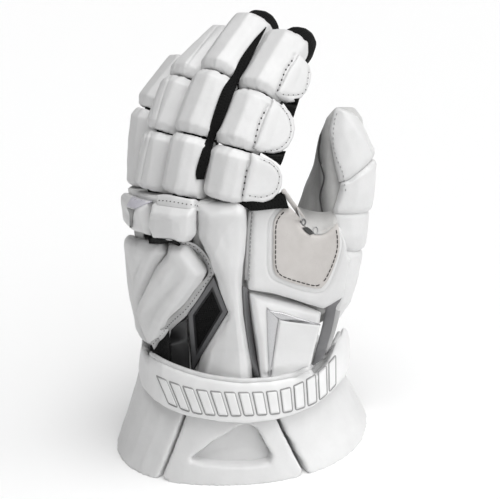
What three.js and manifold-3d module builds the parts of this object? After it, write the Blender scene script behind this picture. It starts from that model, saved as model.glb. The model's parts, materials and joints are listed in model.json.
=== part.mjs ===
// A left-hand lacrosse glove standing on its cuff.
// Millimetres and degrees. +Z runs from the cuff to the fingertips, -Y is the back of the hand
// and +X is the thumb side.
import * as THREE from 'three';
import { mergeVertices } from 'three/addons/utils/BufferGeometryUtils.js';
import Module from 'manifold-3d';

const wasm = await Module();
wasm.setup();

// Driving dimensions
const KNUCKLE_HEIGHT = 206; // floor to the knuckle line
const PALM_WIDTH = 124; // across the hand shell at the knuckles
const PALM_DEPTH = 84; // back to front of the hand shell at the wrist
const LEATHER = 2; // wall of the hand shell and the finger sleeves
const GAP = 0.4; // clearance left between pieces that touch
const TOLERANCE = 0.1; // how closely a finished piece keeps to its exact surface

const FINGER_WIDTH = 24; // outside of a finger sleeve, side to side
const FINGER_DEPTH = 24; // outside of a finger sleeve, back to front
const PHALANX_LENGTH = 42; // middle finger, knuckle to first joint
const ROOT_LENGTH = 12; // how far a sleeve reaches down into the hand shell
const BEND_LENGTH = 18; // length of finger over which a joint bends

const THUMB_WIDTH = 33; // outside of the thumb at its middle, front to back
const THUMB_LENGTH = 142;

// Materials
const finish = (color, roughness, metalness = 0) =>
  new THREE.MeshStandardMaterial({ color, roughness, metalness });
const WHITE_LEATHER = finish(0xe9e9e9, 0.45);
const BLACK_MESH = finish(0x151516, 0.9);
const GREY_SUEDE = finish(0xcfcac5, 0.95);
const DARK_TRIM = finish(0x3c3d40, 0.5);
const SILVER_TRIM = finish(0xd4d6d9, 0.2, 0.8);
const FINISHES = {
  vent_core: BLACK_MESH,
  diamond_vent: DARK_TRIM,
  vent_rib: DARK_TRIM,
  web_patch: GREY_SUEDE,
  chevron_trim: SILVER_TRIM,
  side_channel: DARK_TRIM,
};

const radians = THREE.MathUtils.degToRad;
const vector = (x, y, z) => new THREE.Vector3(x, y, z);

// Solids
function solid(shape) {
  const bare = new THREE.BufferGeometry();
  bare.setAttribute('position', shape.getAttribute('position'));
  if (shape.index) bare.setIndex(shape.index);
  const merged = mergeVertices(bare, 1e-4);
  return new wasm.Manifold(
    new wasm.Mesh({
      numProp: 3,
      vertProperties: merged.attributes.position.array,
      triVerts: new Uint32Array(merged.index.array),
    }),
  );
}

function geometry(body) {
  const mesh = body.getMesh();
  const made = new THREE.BufferGeometry();
  made.setAttribute('position', new THREE.BufferAttribute(mesh.vertProperties, 3));
  made.setIndex(new THREE.BufferAttribute(mesh.triVerts, 1));
  made.computeVertexNormals();
  return made;
}

// A closed skin over rings of points, with a fan over each end.
function loft(rings) {
  const size = rings[0].length;
  const points = rings.flat();
  const centre = (ring) =>
    ring.reduce((sum, point) => sum.add(point), vector(0, 0, 0)).divideScalar(size);
  const foot = points.push(centre(rings[0])) - 1;
  const head = points.push(centre(rings.at(-1))) - 1;
  const faces = [];
  for (let level = 0; level < rings.length - 1; level++) {
    for (let i = 0; i < size; i++) {
      const a = level * size + i;
      const b = level * size + ((i + 1) % size);
      faces.push(a, b, b + size, a, b + size, a + size);
    }
  }
  const last = (rings.length - 1) * size;
  for (let i = 0; i < size; i++) {
    const next = (i + 1) % size;
    faces.push(foot, next, i, head, last + i, last + next);
  }
  const made = new THREE.BufferGeometry().setFromPoints(points);
  made.setIndex(faces);
  const body = solid(made);
  if (body.volume() > 0) return body;
  made.setIndex(faces.map((_, i) => faces[i - (i % 3) + [0, 2, 1][i % 3]]));
  return solid(made);
}

// Hand shell: sections from the cuff to the knuckles.
// height is a share of KNUCKLE_HEIGHT, across and width are shares of PALM_WIDTH, back and depth
// are shares of PALM_DEPTH, arch bends the section round the hand's back and twist turns it.
const SHELL_SIDES = 24;
const SHELL = [
  { height: 0.06, across: -0.02, width: 0.92, back: 0.0, depth: 1.02, arch: 0.0, twist: 16 },
  { height: 0.24, across: -0.02, width: 0.84, back: 0.0, depth: 0.92, arch: 0.04, twist: 16 },
  { height: 0.39, across: -0.04, width: 0.91, back: -0.03, depth: 0.92, arch: 0.08, twist: 13 },
  { height: 0.58, across: -0.05, width: 0.98, back: -0.13, depth: 0.82, arch: 0.18, twist: 6 },
  { height: 0.77, across: -0.04, width: 0.99, back: -0.29, depth: 0.62, arch: 0.32, twist: 0 },
  { height: 0.92, across: -0.05, width: 0.99, back: -0.4, depth: 0.45, arch: 0.48, twist: 0 },
  { height: 1.0, across: -0.055, width: 0.96, back: -0.45, depth: 0.34, arch: 0.51, twist: 0 },
];
const CORE_FOOT = 0.02; // how far the hollow passes the shell's foot, a share of KNUCKLE_HEIGHT
const CORE_HEAD = 0.012; // how far it stops below the knuckle line, a share of KNUCKLE_HEIGHT
const KNUCKLE_DROP = 16; // how much lower the knuckle line ends at the little finger
const ARCH_APEX = 0.06; // the top of the hand's arch, a share of PALM_WIDTH towards the thumb

function shellRow(height) {
  const share = height / KNUCKLE_HEIGHT;
  const above = Math.max(1, SHELL.findIndex((row) => row.height >= share));
  const upper = SHELL[share > SHELL.at(-1).height ? SHELL.length - 1 : above];
  const lower = SHELL[SHELL.indexOf(upper) - 1];
  const t = THREE.MathUtils.clamp((share - lower.height) / (upper.height - lower.height), 0, 1);
  const row = {};
  for (const key of Object.keys(upper)) row[key] = THREE.MathUtils.lerp(lower[key], upper[key], t);
  return row;
}

// A point of the shell. angle 0 faces the thumb side, 90 the back and 180 the little finger.
function onShell(height, angle, grow = 0) {
  const row = shellRow(height);
  const share = height / KNUCKLE_HEIGHT;
  const turn = radians(angle);
  const halfWidth = (row.width * PALM_WIDTH) / 2 + grow;
  const halfDepth = (row.depth * PALM_DEPTH) / 2 + grow;
  const x = halfWidth * Math.cos(turn);
  const fromApex = (row.across * PALM_WIDTH + x) / PALM_WIDTH - ARCH_APEX;
  const bend = row.arch * 4 * fromApex ** 2 * PALM_DEPTH * 0.5;
  const y = row.back * PALM_DEPTH + bend - halfDepth * Math.sin(turn);
  const little = Math.max(0, -2 * row.across - row.width * Math.cos(turn) - 0.3);
  const drop = KNUCKLE_DROP * little ** 2 * Math.min(1, share) ** 4;
  return vector(row.across * PALM_WIDTH + x, y, height - drop).applyAxisAngle(
    vector(0, 0, 1),
    radians(row.twist),
  );
}

function shellBody(grow, ends = grow, foot = SHELL[0].height, head = SHELL.at(-1).height) {
  const shares = SHELL.map((row) => row.height).filter((h) => h > foot && h < head);
  const heights = [foot, ...shares, head].map((share) => share * KNUCKLE_HEIGHT);
  heights[0] -= ends;
  heights[heights.length - 1] += ends;
  return loft(
    heights.map((height) =>
      Array.from({ length: SHELL_SIDES }, (_, i) =>
        onShell(height, (-360 * i) / SHELL_SIDES, grow),
      ),
    ),
  );
}

// Fingers. across is a share of PALM_WIDTH and back a share of PALM_DEPTH, both at the knuckle;
// rise is the knuckle's height and reach the length of each phalanx, as shares of KNUCKLE_HEIGHT
// and PHALANX_LENGTH; size scales the sleeve and wide is its pads' width in sleeve widths. pads
// names its pads and the joint that each ends at. Angles: yaw turns the finger's back away from
// straight back, lean tips it to the thumb side, and curl bends each phalanx to the palm.
const THREE_PADS = { base: 1, middle: 2, tip: 3 };
const TWO_PADS = { base: 2, tip: 3 };
const FINGERS = [
  {
    name: 'index', across: 0.268, back: -0.423, rise: 0.978, size: 1,
    yaw: -3, lean: 9.6, curl: [19, 42, 57], reach: [0.85, 0.88, 1.22], wide: 1.25,
    pads: THREE_PADS,
  },
  {
    name: 'middle', across: 0.025, back: -0.464, rise: 0.988, size: 0.98,
    yaw: -8, lean: 5.9, curl: [21, 40, 60], reach: [1, 1, 1.22], wide: 1.25,
    pads: THREE_PADS,
  },
  {
    name: 'ring', across: -0.213, back: -0.307, rise: 0.975, size: 0.93,
    yaw: -13, lean: 5.5, curl: [18, 35, 68], reach: [0.99, 0.84, 1.22], wide: 1.38,
    pads: THREE_PADS,
  },
  {
    name: 'pinky', across: -0.401, back: -0.014, rise: 0.939, size: 0.86,
    yaw: -24, lean: 1.4, curl: [10, 15, 55], reach: [0.71, 0.6, 1.02], wide: 1.45,
    pads: TWO_PADS,
  },
];
const FINGER_BEYOND = 12; // length of sleeve beyond a finger's last pad
const FINGER_BULB = 0.16; // how much wider a sleeve is at its tip than at its root, a share

// The line that a finger bends along, and a frame at each length along it.
function digitLine({ root, up, palm, curl, lengths, bend, beyond }) {
  const joints = [lengths[0], lengths[0] + lengths[1]];
  const end = joints[1] + lengths[2] + (beyond ?? 0);
  const ease = THREE.MathUtils.smoothstep;
  const angleAt = (s) =>
    joints.reduce(
      (angle, joint, i) =>
        angle + (curl[i + 1] - curl[i]) * ease(s, joint - bend / 2, joint + bend / 2),
      curl[0],
    );
  const heading = (s) => {
    const turn = radians(angleAt(s));
    return up.clone().multiplyScalar(Math.cos(turn)).addScaledVector(palm, Math.sin(turn));
  };
  const STEP = 1;
  const walk = (s) => {
    const point = root.clone();
    const steps = Math.ceil(Math.abs(s) / STEP);
    for (let i = 0; i < steps; i++) point.addScaledVector(heading((s * (i + 0.5)) / steps), s / steps);
    return point;
  };
  const side = vector(0, 0, 0).crossVectors(palm, up);
  // s along the finger, lateral to the thumb side, rise out of the finger's back
  const at = (s, lateral, rise) => {
    const back = vector(0, 0, 0).crossVectors(side, heading(s));
    return walk(s).addScaledVector(side, lateral).addScaledVector(back, rise);
  };
  return { at, joints, end, side, heading };
}

function fingerLine(finger) {
  const lean = radians(finger.lean);
  const yaw = radians(finger.yaw);
  const up = vector(Math.sin(lean), 0, Math.cos(lean));
  const palm = vector(-Math.sin(yaw), Math.cos(yaw), 0);
  palm.addScaledVector(up, -palm.dot(up)).normalize();
  return digitLine({
    root: vector(
      finger.across * PALM_WIDTH,
      finger.back * PALM_DEPTH,
      finger.rise * KNUCKLE_HEIGHT,
    ),
    up,
    palm,
    curl: finger.curl,
    lengths: finger.reach.map((share) => share * PHALANX_LENGTH),
    bend: BEND_LENGTH,
    beyond: FINGER_BEYOND,
  });
}

// The thumb stands beside the hand with its back to the thumb side.
const THUMB = {
  across: 0.605, back: 0.06, rise: 0.534, yaw: 80, leanOut: 11, leanFront: 15.5,
  curl: [0, 4, 12], reach: [0.3, 0.35, 0.35],
};

function thumbLine() {
  const up = vector(
    Math.tan(radians(THUMB.leanOut)),
    Math.tan(radians(THUMB.leanFront)),
    1,
  ).normalize();
  const yaw = radians(THUMB.yaw);
  const palm = vector(-Math.sin(yaw), Math.cos(yaw), 0);
  palm.addScaledVector(up, -palm.dot(up)).normalize();
  return digitLine({
    root: vector(
      THUMB.across * PALM_WIDTH,
      THUMB.back * PALM_DEPTH,
      THUMB.rise * KNUCKLE_HEIGHT,
    ),
    up,
    palm,
    curl: THUMB.curl,
    lengths: THUMB.reach.map((share) => share * THUMB_LENGTH),
    bend: BEND_LENGTH,
  });
}

// A round-ended tube along a digit, thicker by grow on every side.
const SLEEVE_SIDES = 10;
const SLEEVE_STEP = 12; // length of sleeve between two of its sections
function sleeveBody(line, width, depth, from, grow) {
  const tip = Math.min(width, depth) / 2;
  const end = line.end + grow;
  const straight = Math.ceil((end - tip - from) / SLEEVE_STEP);
  const stations = [];
  for (let i = 0; i <= straight; i++) {
    stations.push({ s: from + ((end - tip - from) * i) / straight, share: 1 });
  }
  for (const turn of [30, 55, 78]) {
    const angle = radians(turn);
    stations.push({ s: end - tip + tip * Math.sin(angle), share: Math.cos(angle) });
  }
  return loft(
    stations.map(({ s, share }) => {
      const thin = (1 + FINGER_BULB * THREE.MathUtils.clamp(s / line.end, 0, 1)) * share;
      return Array.from({ length: SLEEVE_SIDES }, (_, i) => {
        const turn = (2 * Math.PI * i) / SLEEVE_SIDES;
        return line.at(
          s,
          (thin * width * 0.5 + grow * share) * Math.cos(turn),
          (thin * depth * 0.5 + grow * share) * Math.sin(turn),
        );
      });
    }),
  );
}

// Sections of the thumb. along is a share of THUMB_LENGTH; width, depth and inward, the
// section's move towards the palm, are shares of THUMB_WIDTH.
const THUMB_SECTIONS = [
  { along: -0.17, width: 0.8, depth: 0.7, inward: 0.74 },
  { along: 0.0, width: 1.14, depth: 1.5, inward: 0.36 },
  { along: 0.25, width: 1.14, depth: 1.66, inward: 0.33 },
  { along: 0.42, width: 1.08, depth: 1.58, inward: 0.29 },
  { along: 0.57, width: 1.02, depth: 1.4, inward: 0.21 },
  { along: 0.72, width: 0.98, depth: 1.2, inward: 0.12 },
  { along: 0.86, width: 0.92, depth: 1.0, inward: 0.07 },
  { along: 0.95, width: 0.72, depth: 0.76, inward: 0.04 },
  { along: 1.0, width: 0.36, depth: 0.38, inward: 0.02 },
];
const THUMB_SIDES = 16;
const THUMB_CAP = 0.9; // where the round end of the thumb starts, a share of THUMB_LENGTH
const CAP_GROWTH = 6; // how fast the clearance round that end grows

// A point of the thumb. angle 0 faces the front of the hand, 90 the thumb's back and 180 the
// back of the hand.
function onThumb(line, length, angle, grow) {
  const share = length / THUMB_LENGTH;
  const found = THUMB_SECTIONS.findIndex((row) => row.along >= share);
  const above = THUMB_SECTIONS[found < 0 ? THUMB_SECTIONS.length - 1 : Math.max(1, found)];
  const below = THUMB_SECTIONS[THUMB_SECTIONS.indexOf(above) - 1];
  const t = THREE.MathUtils.clamp((share - below.along) / (above.along - below.along), 0, 1);
  const mix = (key) => THREE.MathUtils.lerp(below[key], above[key], t);
  const turn = radians(angle);
  return line.at(
    length + grow * Math.max(0, share - THUMB_CAP) * CAP_GROWTH,
    (mix('width') * THUMB_WIDTH * 0.5 + grow) * Math.cos(turn),
    (mix('depth') * THUMB_WIDTH * 0.5 + grow) * Math.sin(turn) - mix('inward') * THUMB_WIDTH,
  );
}

function thumbBody(line, grow) {
  return loft(
    THUMB_SECTIONS.map(({ along }) =>
      Array.from({ length: THUMB_SIDES }, (_, i) =>
        onThumb(line, along * THUMB_LENGTH, (360 * i) / THUMB_SIDES, grow),
      ),
    ),
  );
}

// Pads. A pad is a block over a surface: corners are its outline on that surface, along and
// round it in millimetres and degrees, and each level gives a height and how far the outline
// has drawn in there.
const PAD_STEP = 14; // longest side of a pad between two of its points
function drawnIn(corners, inset) {
  return corners.map((corner, i) => {
    const before = corners[(i + corners.length - 1) % corners.length];
    const after = corners[(i + 1) % corners.length];
    const a = new THREE.Vector2(corner[0] - before[0], corner[1] - before[1]).normalize();
    const b = new THREE.Vector2(after[0] - corner[0], after[1] - corner[1]).normalize();
    const area = THREE.ShapeUtils.area(corners.map(([x, y]) => ({ x, y })));
    const hand = Math.sign(area);
    const normal = new THREE.Vector2(-a.y - b.y, a.x + b.x).multiplyScalar(hand);
    const bevel = inset / Math.max(0.35, normal.lengthSq() / 2);
    return [corner[0] + normal.x * bevel, corner[1] + normal.y * bevel];
  });
}

function pad(at, corners, levels) {
  const parts = corners.map((corner, i) => {
    const next = corners[(i + 1) % corners.length];
    return Math.max(1, Math.round(Math.hypot(next[0] - corner[0], next[1] - corner[1]) / PAD_STEP));
  });
  return loft(
    levels.map(({ inset, rise }) => {
      const ring = drawnIn(corners, inset);
      return ring.flatMap((corner, i) => {
        const next = ring[(i + 1) % ring.length];
        return Array.from({ length: parts[i] }, (_, k) => {
          const t = k / parts[i];
          const u = THREE.MathUtils.lerp(corner[0], next[0], t);
          const v = THREE.MathUtils.lerp(corner[1], next[1], t);
          return at(u, v, rise);
        });
      });
    }),
  );
}

// A pad that wraps round a surface. from and to are its two ends at evenly spaced places round
// it, start and stop its two sides at evenly spaced places along it.
function spread(values, t) {
  const place = t * (values.length - 1);
  const i = Math.min(values.length - 2, Math.floor(place));
  return values.length < 2 ? values[0] : THREE.MathUtils.lerp(values[i], values[i + 1], place - i);
}

function wrap(at, { from, to, start, stop, foot, lift, bevel, steps, turns }, grow = 0) {
  const edge = (n) => [0, ...Array.from({ length: n - 1 }, (_, i) => (i + 1) / n), 1];
  const stations = edge(steps);
  const rounds = edge(turns);
  const place = (t, f, rise, inset) => {
    const u0 = spread(from, f);
    const u1 = spread(to, f);
    const v0 = spread(start, t);
    const v1 = spread(stop, t);
    const inU = THREE.MathUtils.clamp((inset - grow) / Math.abs(u1 - u0), -0.5, 0.5);
    const inV = THREE.MathUtils.clamp((inset - grow) / Math.abs(v1 - v0), -0.5, 0.5);
    return at(
      THREE.MathUtils.lerp(u0, u1, inU + t * (1 - 2 * inU)),
      THREE.MathUtils.lerp(v0, v1, inV + f * (1 - 2 * inV)),
      rise,
    );
  };
  const ring = (t, top, low, inset) => [
    place(t, 0, foot - grow, inset),
    place(t, 0, low, inset),
    ...rounds.map((f) => place(t, f, top, bevel)),
    place(t, 1, low, inset),
    ...rounds.toReversed().map((f) => place(t, f, foot - grow, inset)).slice(0, -1),
  ];
  const low = lift * 0.5 + grow;
  const end = (t) => [
    place(t, 0, foot - grow, 0),
    place(t, 0, low, 0),
    ...rounds.map((f) => place(t, f, low, 0)),
    place(t, 1, low, 0),
    ...rounds.toReversed().map((f) => place(t, f, foot - grow, 0)).slice(0, -1),
  ];
  return loft([end(0), ...stations.map((t) => ring(t, lift + grow, low, 0)), end(1)]);
}

// The levels of a leather pad over foam: sides, a soft shoulder and a slightly crowned top.
const padLevels = (lift, bevel, grow = 0) => [
  { inset: -grow, rise: -4 },
  { inset: -grow, rise: lift * 0.55 + grow },
  { inset: bevel - grow, rise: lift + grow },
  { inset: bevel * 2.2, rise: lift + 0.8 + grow },
];

// Pads on the back of the hand. up is in shares of KNUCKLE_HEIGHT and round in degrees about
// the hand shell; lift is the pad's thickness.
const BACKHAND = [
  {
    name: 'knuckle_pad', lift: 13, bevel: 3.5,
    up: [0.995, 0.995, 0.9, 0.875, 0.87, 0.93], round: [98, 68, 71.5, 76, 100, 103],
  },
  {
    name: 'knuckle_edge_pad', lift: 10, bevel: 3,
    up: [0.985, 0.985, 0.87, 0.86], round: [150, 105, 105, 146],
  },
  {
    name: 'center_spine', lift: 17, bevel: 5,
    up: [1.005, 1.005, 0.83, 0.64, 0.36, 0.4, 0.61, 0.755, 0.815, 0.9],
    round: [65.5, 42, 45, 51, 60, 97, 68, 65, 66, 69.5],
  },
  {
    name: 'slanted_pad', lift: 14, bevel: 4,
    up: [0.86, 0.86, 0.762, 0.72, 0.44, 0.43, 0.55, 0.825],
    round: [90, 79, 70, 75.5, 123, 133, 139, 92.5],
  },
  {
    name: 'outer_pad', lift: 11, bevel: 4,
    up: [0.85, 0.82, 0.54, 0.41, 0.41, 0.8], round: [98, 95, 141, 141, 178, 160],
  },
  {
    name: 'vent_core', lift: 10, bevel: 1.5,
    up: [0.7, 0.612, 0.47, 0.6], round: [73, 75, 93.5, 84.5],
  },
  {
    name: 'diamond_vent', lift: 14, bevel: 4,
    up: [0.75, 0.615, 0.41, 0.6], round: [68.5, 70.5, 99, 88],
  },
  {
    name: 'vent_rib', lift: 8, bevel: 2,
    up: [0.5, 0.56, 0.4, 0.37], round: [109, 93.5, 103, 119],
  },
];
const backhandPad = (row, grow) =>
  pad(
    (u, v, rise) => onShell(u, v, rise),
    row.up.map((share, i) => [share * KNUCKLE_HEIGHT, row.round[i]]),
    padLevels(row.lift, row.bevel, grow),
  );

// Pads on the fingers, one to each phalanx.
const PAD_LIFT = 8.5; // thickness of a finger pad
const PAD_SPLIT = 1.2; // groove between two pads of a finger
const PAD_SHOULDER = 3.5; // length and height that each end of a pad slopes down over
const PAD_TAPER = 0.94; // width of a pad's ends, a share of its middle
const PAD_PITCH = 13; // length of pad between two of its sections
function fingerPad(finger, from, to, grow) {
  const half = (finger.width * finger.wide) / 2;
  const top = finger.depth / 2 + PAD_LIFT;
  const section = (thin, low) => [
    [-half, 1],
    [-half, top * 0.7 - low],
    [-half * 0.6, top - 1 - low],
    [half * 0.15, top + 0.8 - low],
    [half * 0.66, top - 2.5 - low],
    [half, top * 0.6 - low],
    [half, 1],
    [0, 0],
  ].map(([x, h]) => [x * thin + Math.sign(x) * grow, h + (h > 1 ? grow : -grow)]);
  const START = from + PAD_SPLIT / 2 - grow;
  const END = to - PAD_SPLIT / 2 + grow;
  const flat = END - START - 2 * PAD_SHOULDER;
  const parts = Math.max(1, Math.round(flat / PAD_PITCH));
  const stations = [{ s: START, thin: PAD_TAPER, low: PAD_SHOULDER }];
  for (let i = 0; i <= parts; i++) {
    stations.push({ s: START + PAD_SHOULDER + (flat * i) / parts, thin: 1, low: 0 });
  }
  stations.push({ s: END, thin: PAD_TAPER, low: PAD_SHOULDER });
  return loft(
    stations.map(({ s, thin, low }) =>
      section(thin, low).map(([x, h]) => finger.line.at(s, x, h)),
    ),
  );
}

// Half-round side flaps of the index finger. from and to are shares of the finger's length to
// the end of its pads; wide is how far each hangs down the finger's side and slope the degrees
// it stands out from it.
const FLAP_LIFT = 2.5;
const FLAP_ARCS = 8; // straight lengths round a flap's rim
const FLAP_NECK = 4; // how far a flap runs straight down before its rim turns
const FLAPS = [
  { name: 'index_base_flap', from: 0.04, to: 0.285, wide: 26, slope: 42 },
  { name: 'index_middle_flap', from: 0.305, to: 0.575, wide: 24, slope: 40 },
  { name: 'index_tip_flap', from: 0.6, to: 0.88, wide: 19, slope: 34 },
];
function fingerFlap(finger, row, grow) {
  const length = finger.line.end - FINGER_BEYOND;
  const top = (finger.depth / 2 + PAD_LIFT) * 0.62;
  const start = row.from * length;
  const span = (row.to - row.from) * length;
  const outline = [[start, top], [start + span, top]];
  for (let i = 1; i < FLAP_ARCS; i++) {
    const turn = (Math.PI * i) / FLAP_ARCS;
    outline.push([
      start + span * (0.5 + 0.5 * Math.cos(turn)),
      top - FLAP_NECK - (row.wide - FLAP_NECK) * Math.sin(turn) ** 0.7,
    ]);
  }
  const slope = radians(row.slope);
  const hinge = (finger.width * finger.wide) / 2 - 1;
  const at = (u, v, rise) =>
    finger.line.at(
      u,
      hinge + (top - v) * Math.sin(slope) + rise * Math.cos(slope),
      top - (top - v) * Math.cos(slope) + rise * Math.sin(slope),
    );
  return pad(at, outline, [
    { inset: 5 - grow, rise: -9 - grow },
    { inset: -grow, rise: -3 - grow },
    { inset: -grow, rise: FLAP_LIFT * 0.4 + grow },
    { inset: 1 - grow, rise: FLAP_LIFT + grow },
    { inset: 4, rise: FLAP_LIFT + 0.6 + grow },
  ]);
}

// Pads of the thumb. from and to are shares of THUMB_LENGTH at places round it; start and stop
// are degrees round it at places along it.
const THUMB_PADS = [
  {
    name: 'thumb_tip_pad', lift: 5.5, from: [0.69, 0.725, 0.7], to: [0.985, 0.985, 0.97],
    start: [150, 166, 180, 184], stop: [-20],
  },
  {
    name: 'thumb_middle_pad', lift: 6.5, from: [0.5, 0.5], to: [0.675, 0.71, 0.685],
    start: [150, 146, 148], stop: [-20],
  },
  {
    name: 'thumb_band_pad', lift: 5, from: [0.29, 0.29], to: [0.485, 0.485],
    start: [132, 150], stop: [-20],
  },
  {
    name: 'thumb_root_pad', lift: 4.5, from: [-0.05, -0.06], to: [0.275, 0.275],
    start: [100, 130], stop: [-15],
  },
];
const ROUND_SCALE = 0.3; // millimetres round the thumb in one degree
const thumbPad = (line, row, grow) =>
  wrap(
    (u, v, rise) => onThumb(line, u, v / ROUND_SCALE, rise),
    {
      from: row.from.map((share) => share * THUMB_LENGTH),
      to: row.to.map((share) => share * THUMB_LENGTH),
      start: row.start.map((angle) => angle * ROUND_SCALE),
      stop: row.stop.map((angle) => angle * ROUND_SCALE),
      foot: -4,
      lift: row.lift,
      bevel: 2,
      steps: 3,
      turns: 7,
    },
    grow,
  );

// Pieces between the back of the hand and the thumb, drawn on an upright plane that faces out
// at WEB_TURN degrees round from the back. across is a share of PALM_WIDTH towards the thumb
// from WEB_ORIGIN, up a share of KNUCKLE_HEIGHT.
const WEB_TURN = 41;
const WEB_ORIGIN = vector(0.597 * PALM_WIDTH, -0.244 * PALM_DEPTH, 0);
const onWeb = (height, across, rise) =>
  vector(across, -rise, height).applyAxisAngle(vector(0, 0, 1), radians(WEB_TURN)).add(WEB_ORIGIN);
const WEB = [
  {
    name: 'web_pad', foot: -26, levels: [[0, -3], [2.5, 0], [6, 0.3]],
    up: [
      0.985, 0.97, 0.91, 0.867, 0.842, 0.837, 0.852, 0.85, 0.715, 0.585, 0.56, 0.655, 0.685, 0.83,
    ],
    across: [
      -0.234, -0.048, 0, 0.04, 0.093, 0.153, 0.218, 0.274, 0.29, 0.234, 0.105, -0.177, -0.306,
      -0.274,
    ],
  },
  {
    name: 'web_patch', foot: 0.9, levels: [[0, 2], [1, 2.6], [5, 2.8]],
    up: [
      0.955, 0.913, 0.867, 0.833, 0.825, 0.847, 0.86, 0.77, 0.61, 0.62, 0.695, 0.73, 0.86, 0.905,
    ],
    across: [
      -0.073, 0, 0.044, 0.101, 0.161, 0.222, 0.25, 0.25, 0.113, -0.008, -0.169, -0.185, -0.177,
      -0.153,
    ],
  },
  {
    name: 'gauntlet_panel', foot: -30, levels: [[0, -6], [3, -3], [8, -2.6]],
    up: [0.665, 0.545, 0.5, 0.36, 0.36], across: [-0.298, 0.097, 0.081, -0.008, -0.282],
  },
  {
    name: 'gauntlet_inlay', foot: -5.5, levels: [[0, -1.8], [1, -1.2], [4, -1]],
    up: [0.535, 0.508, 0.37, 0.37], across: [-0.161, 0.073, -0.008, -0.226],
  },
  {
    name: 'chevron_trim', foot: -4.5, levels: [[0, -1.6], [2, -0.4], [3.5, -0.3]],
    up: [0.61, 0.51, 0.37, 0.37], across: [-0.218, 0.077, -0.004, -0.274],
  },
  {
    name: 'side_channel', foot: -30, levels: [[0, -9], [1.5, -7.5], [3, -7.4]],
    up: [0.565, 0.585, 0.5, 0.36, 0.36, 0.5], across: [0.125, 0.21, 0.177, 0.048, 0.008, 0.093],
  },
];
const webPad = (row, grow) =>
  pad(
    onWeb,
    row.up.map((share, i) => [share * KNUCKLE_HEIGHT, row.across[i] * PALM_WIDTH]),
    [
      { inset: -grow, rise: row.foot - grow },
      ...row.levels.map(([inset, rise]) => ({ inset: inset - grow, rise: rise + grow })),
    ],
  );

// Cuff and strap. height is a share of KNUCKLE_HEIGHT, across and width are shares of PALM_WIDTH
// and depth of PALM_DEPTH, for the outside of the cuff; a power under 1 squares its section.
const CUFF_TURN = 17;
const CUFF = [
  { height: 0, across: -0.024, width: 0.774, depth: 0.952, power: 0.89 },
  { height: 0.204, across: -0.008, width: 0.637, depth: 0.774, power: 0.94 },
  { height: 0.32, across: 0, width: 0.573, depth: 0.69, power: 1 },
  { height: 0.485, across: 0, width: 0.532, depth: 0.643, power: 1 },
];
const CUFF_THICK = 12;
const CUFF_WEDGE = 0.15; // how much thicker a cuff panel grows with each millimetre up

// The strap round the wrist. bottom and top are shares of KNUCKLE_HEIGHT and palm flattens its
// palm side; tilt, rise and flare raise and widen it towards the thumb, and reach is half its
// width as a share of PALM_WIDTH. out and edge are how far it stands out of the cuff.
const STRAP = {
  bottom: 0.223, top: 0.388, palm: 0.67, tilt: 0.07, rise: 0.149, flare: 0.18, reach: 0.605,
  out: 9, edge: 6,
};
const STRAP_SIDES = 36;

function onCuff(height, angle, grow, palm = 1) {
  const share = height / KNUCKLE_HEIGHT;
  const upper = CUFF[Math.max(1, CUFF.findIndex((row) => row.height >= share))];
  const lower = CUFF[CUFF.indexOf(upper) - 1];
  const t = THREE.MathUtils.clamp((share - lower.height) / (upper.height - lower.height), 0, 1);
  const mix = (key) => THREE.MathUtils.lerp(lower[key], upper[key], t);
  const turn = radians(angle);
  const back = Math.sin(turn) > 0;
  const full = (value) => Math.sign(value) * Math.abs(value) ** mix('power');
  return vector(
    mix('across') * PALM_WIDTH + (mix('width') * PALM_WIDTH + grow) * full(Math.cos(turn)),
    -(mix('depth') * PALM_DEPTH + grow) * (back ? 1 : palm) * full(Math.sin(turn)),
    height,
  ).applyAxisAngle(vector(0, 0, 1), radians(CUFF_TURN));
}

// Panels of the cuff. corners is how far its two lower corners are rounded off, start and stop
// are its two sides in degrees round the cuff, at its rim and at its top.
const CUFF_TOP = 0.311;
const CUFF_PANELS = [
  { name: 'cuff_center', corners: [6, 7], start: [116.5, 106], stop: [54.5, 66] },
  { name: 'cuff_outer_side', corners: [13, 2], start: [192, 196], stop: [118.5, 108] },
  { name: 'cuff_inner_side', corners: [2, 13], start: [52.5, 64], stop: [-24, -22] },
];
const CUFF_TURNS = 7;
const CUTTER = 40; // half the depth of the body that rounds a panel's corners off
const CORNER_BELOW = 0.2; // how far the rounded outline passes below the floor
const CUFF_DEGREES = 0.64; // degrees round the cuff's rim in one millimetre
const cuffPanel = (row, grow) =>
  wrap(
    (u, v, rise) => onCuff(Math.max(0, u), v, rise - (rise < -6 ? u * CUFF_WEDGE : 0)),
    {
      from: [0],
      to: [CUFF_TOP * KNUCKLE_HEIGHT],
      start: row.start,
      stop: row.stop,
      foot: -CUFF_THICK,
      lift: 0,
      bevel: 2.5,
      steps: 4,
      turns: CUFF_TURNS,
    },
    grow,
  );

// All that lies within a cuff panel's outline once its two lower corners are rounded off.
function cuffCorners(row) {
  const inward = Math.sign(row.stop[0] - row.start[0]);
  const side = ([rim, top], corner, turnIn) => [
    [2 * CUFF_TOP * KNUCKLE_HEIGHT, 2 * top - rim - turnIn],
    ...[0, 30, 60, 90].map((turn) => [
      corner * (1 - Math.sin(radians(turn))) - CORNER_BELOW,
      rim + turnIn * corner * CUFF_DEGREES * (1 - Math.cos(radians(turn))),
    ]),
  ];
  const outline = [
    ...side(row.start, row.corners[0], inward),
    ...side(row.stop, row.corners[1], -inward).toReversed(),
  ];
  const levels = [{ inset: 0, rise: -CUTTER }, { inset: 0, rise: CUTTER }];
  return pad(onCuff, outline, levels);
}

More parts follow.
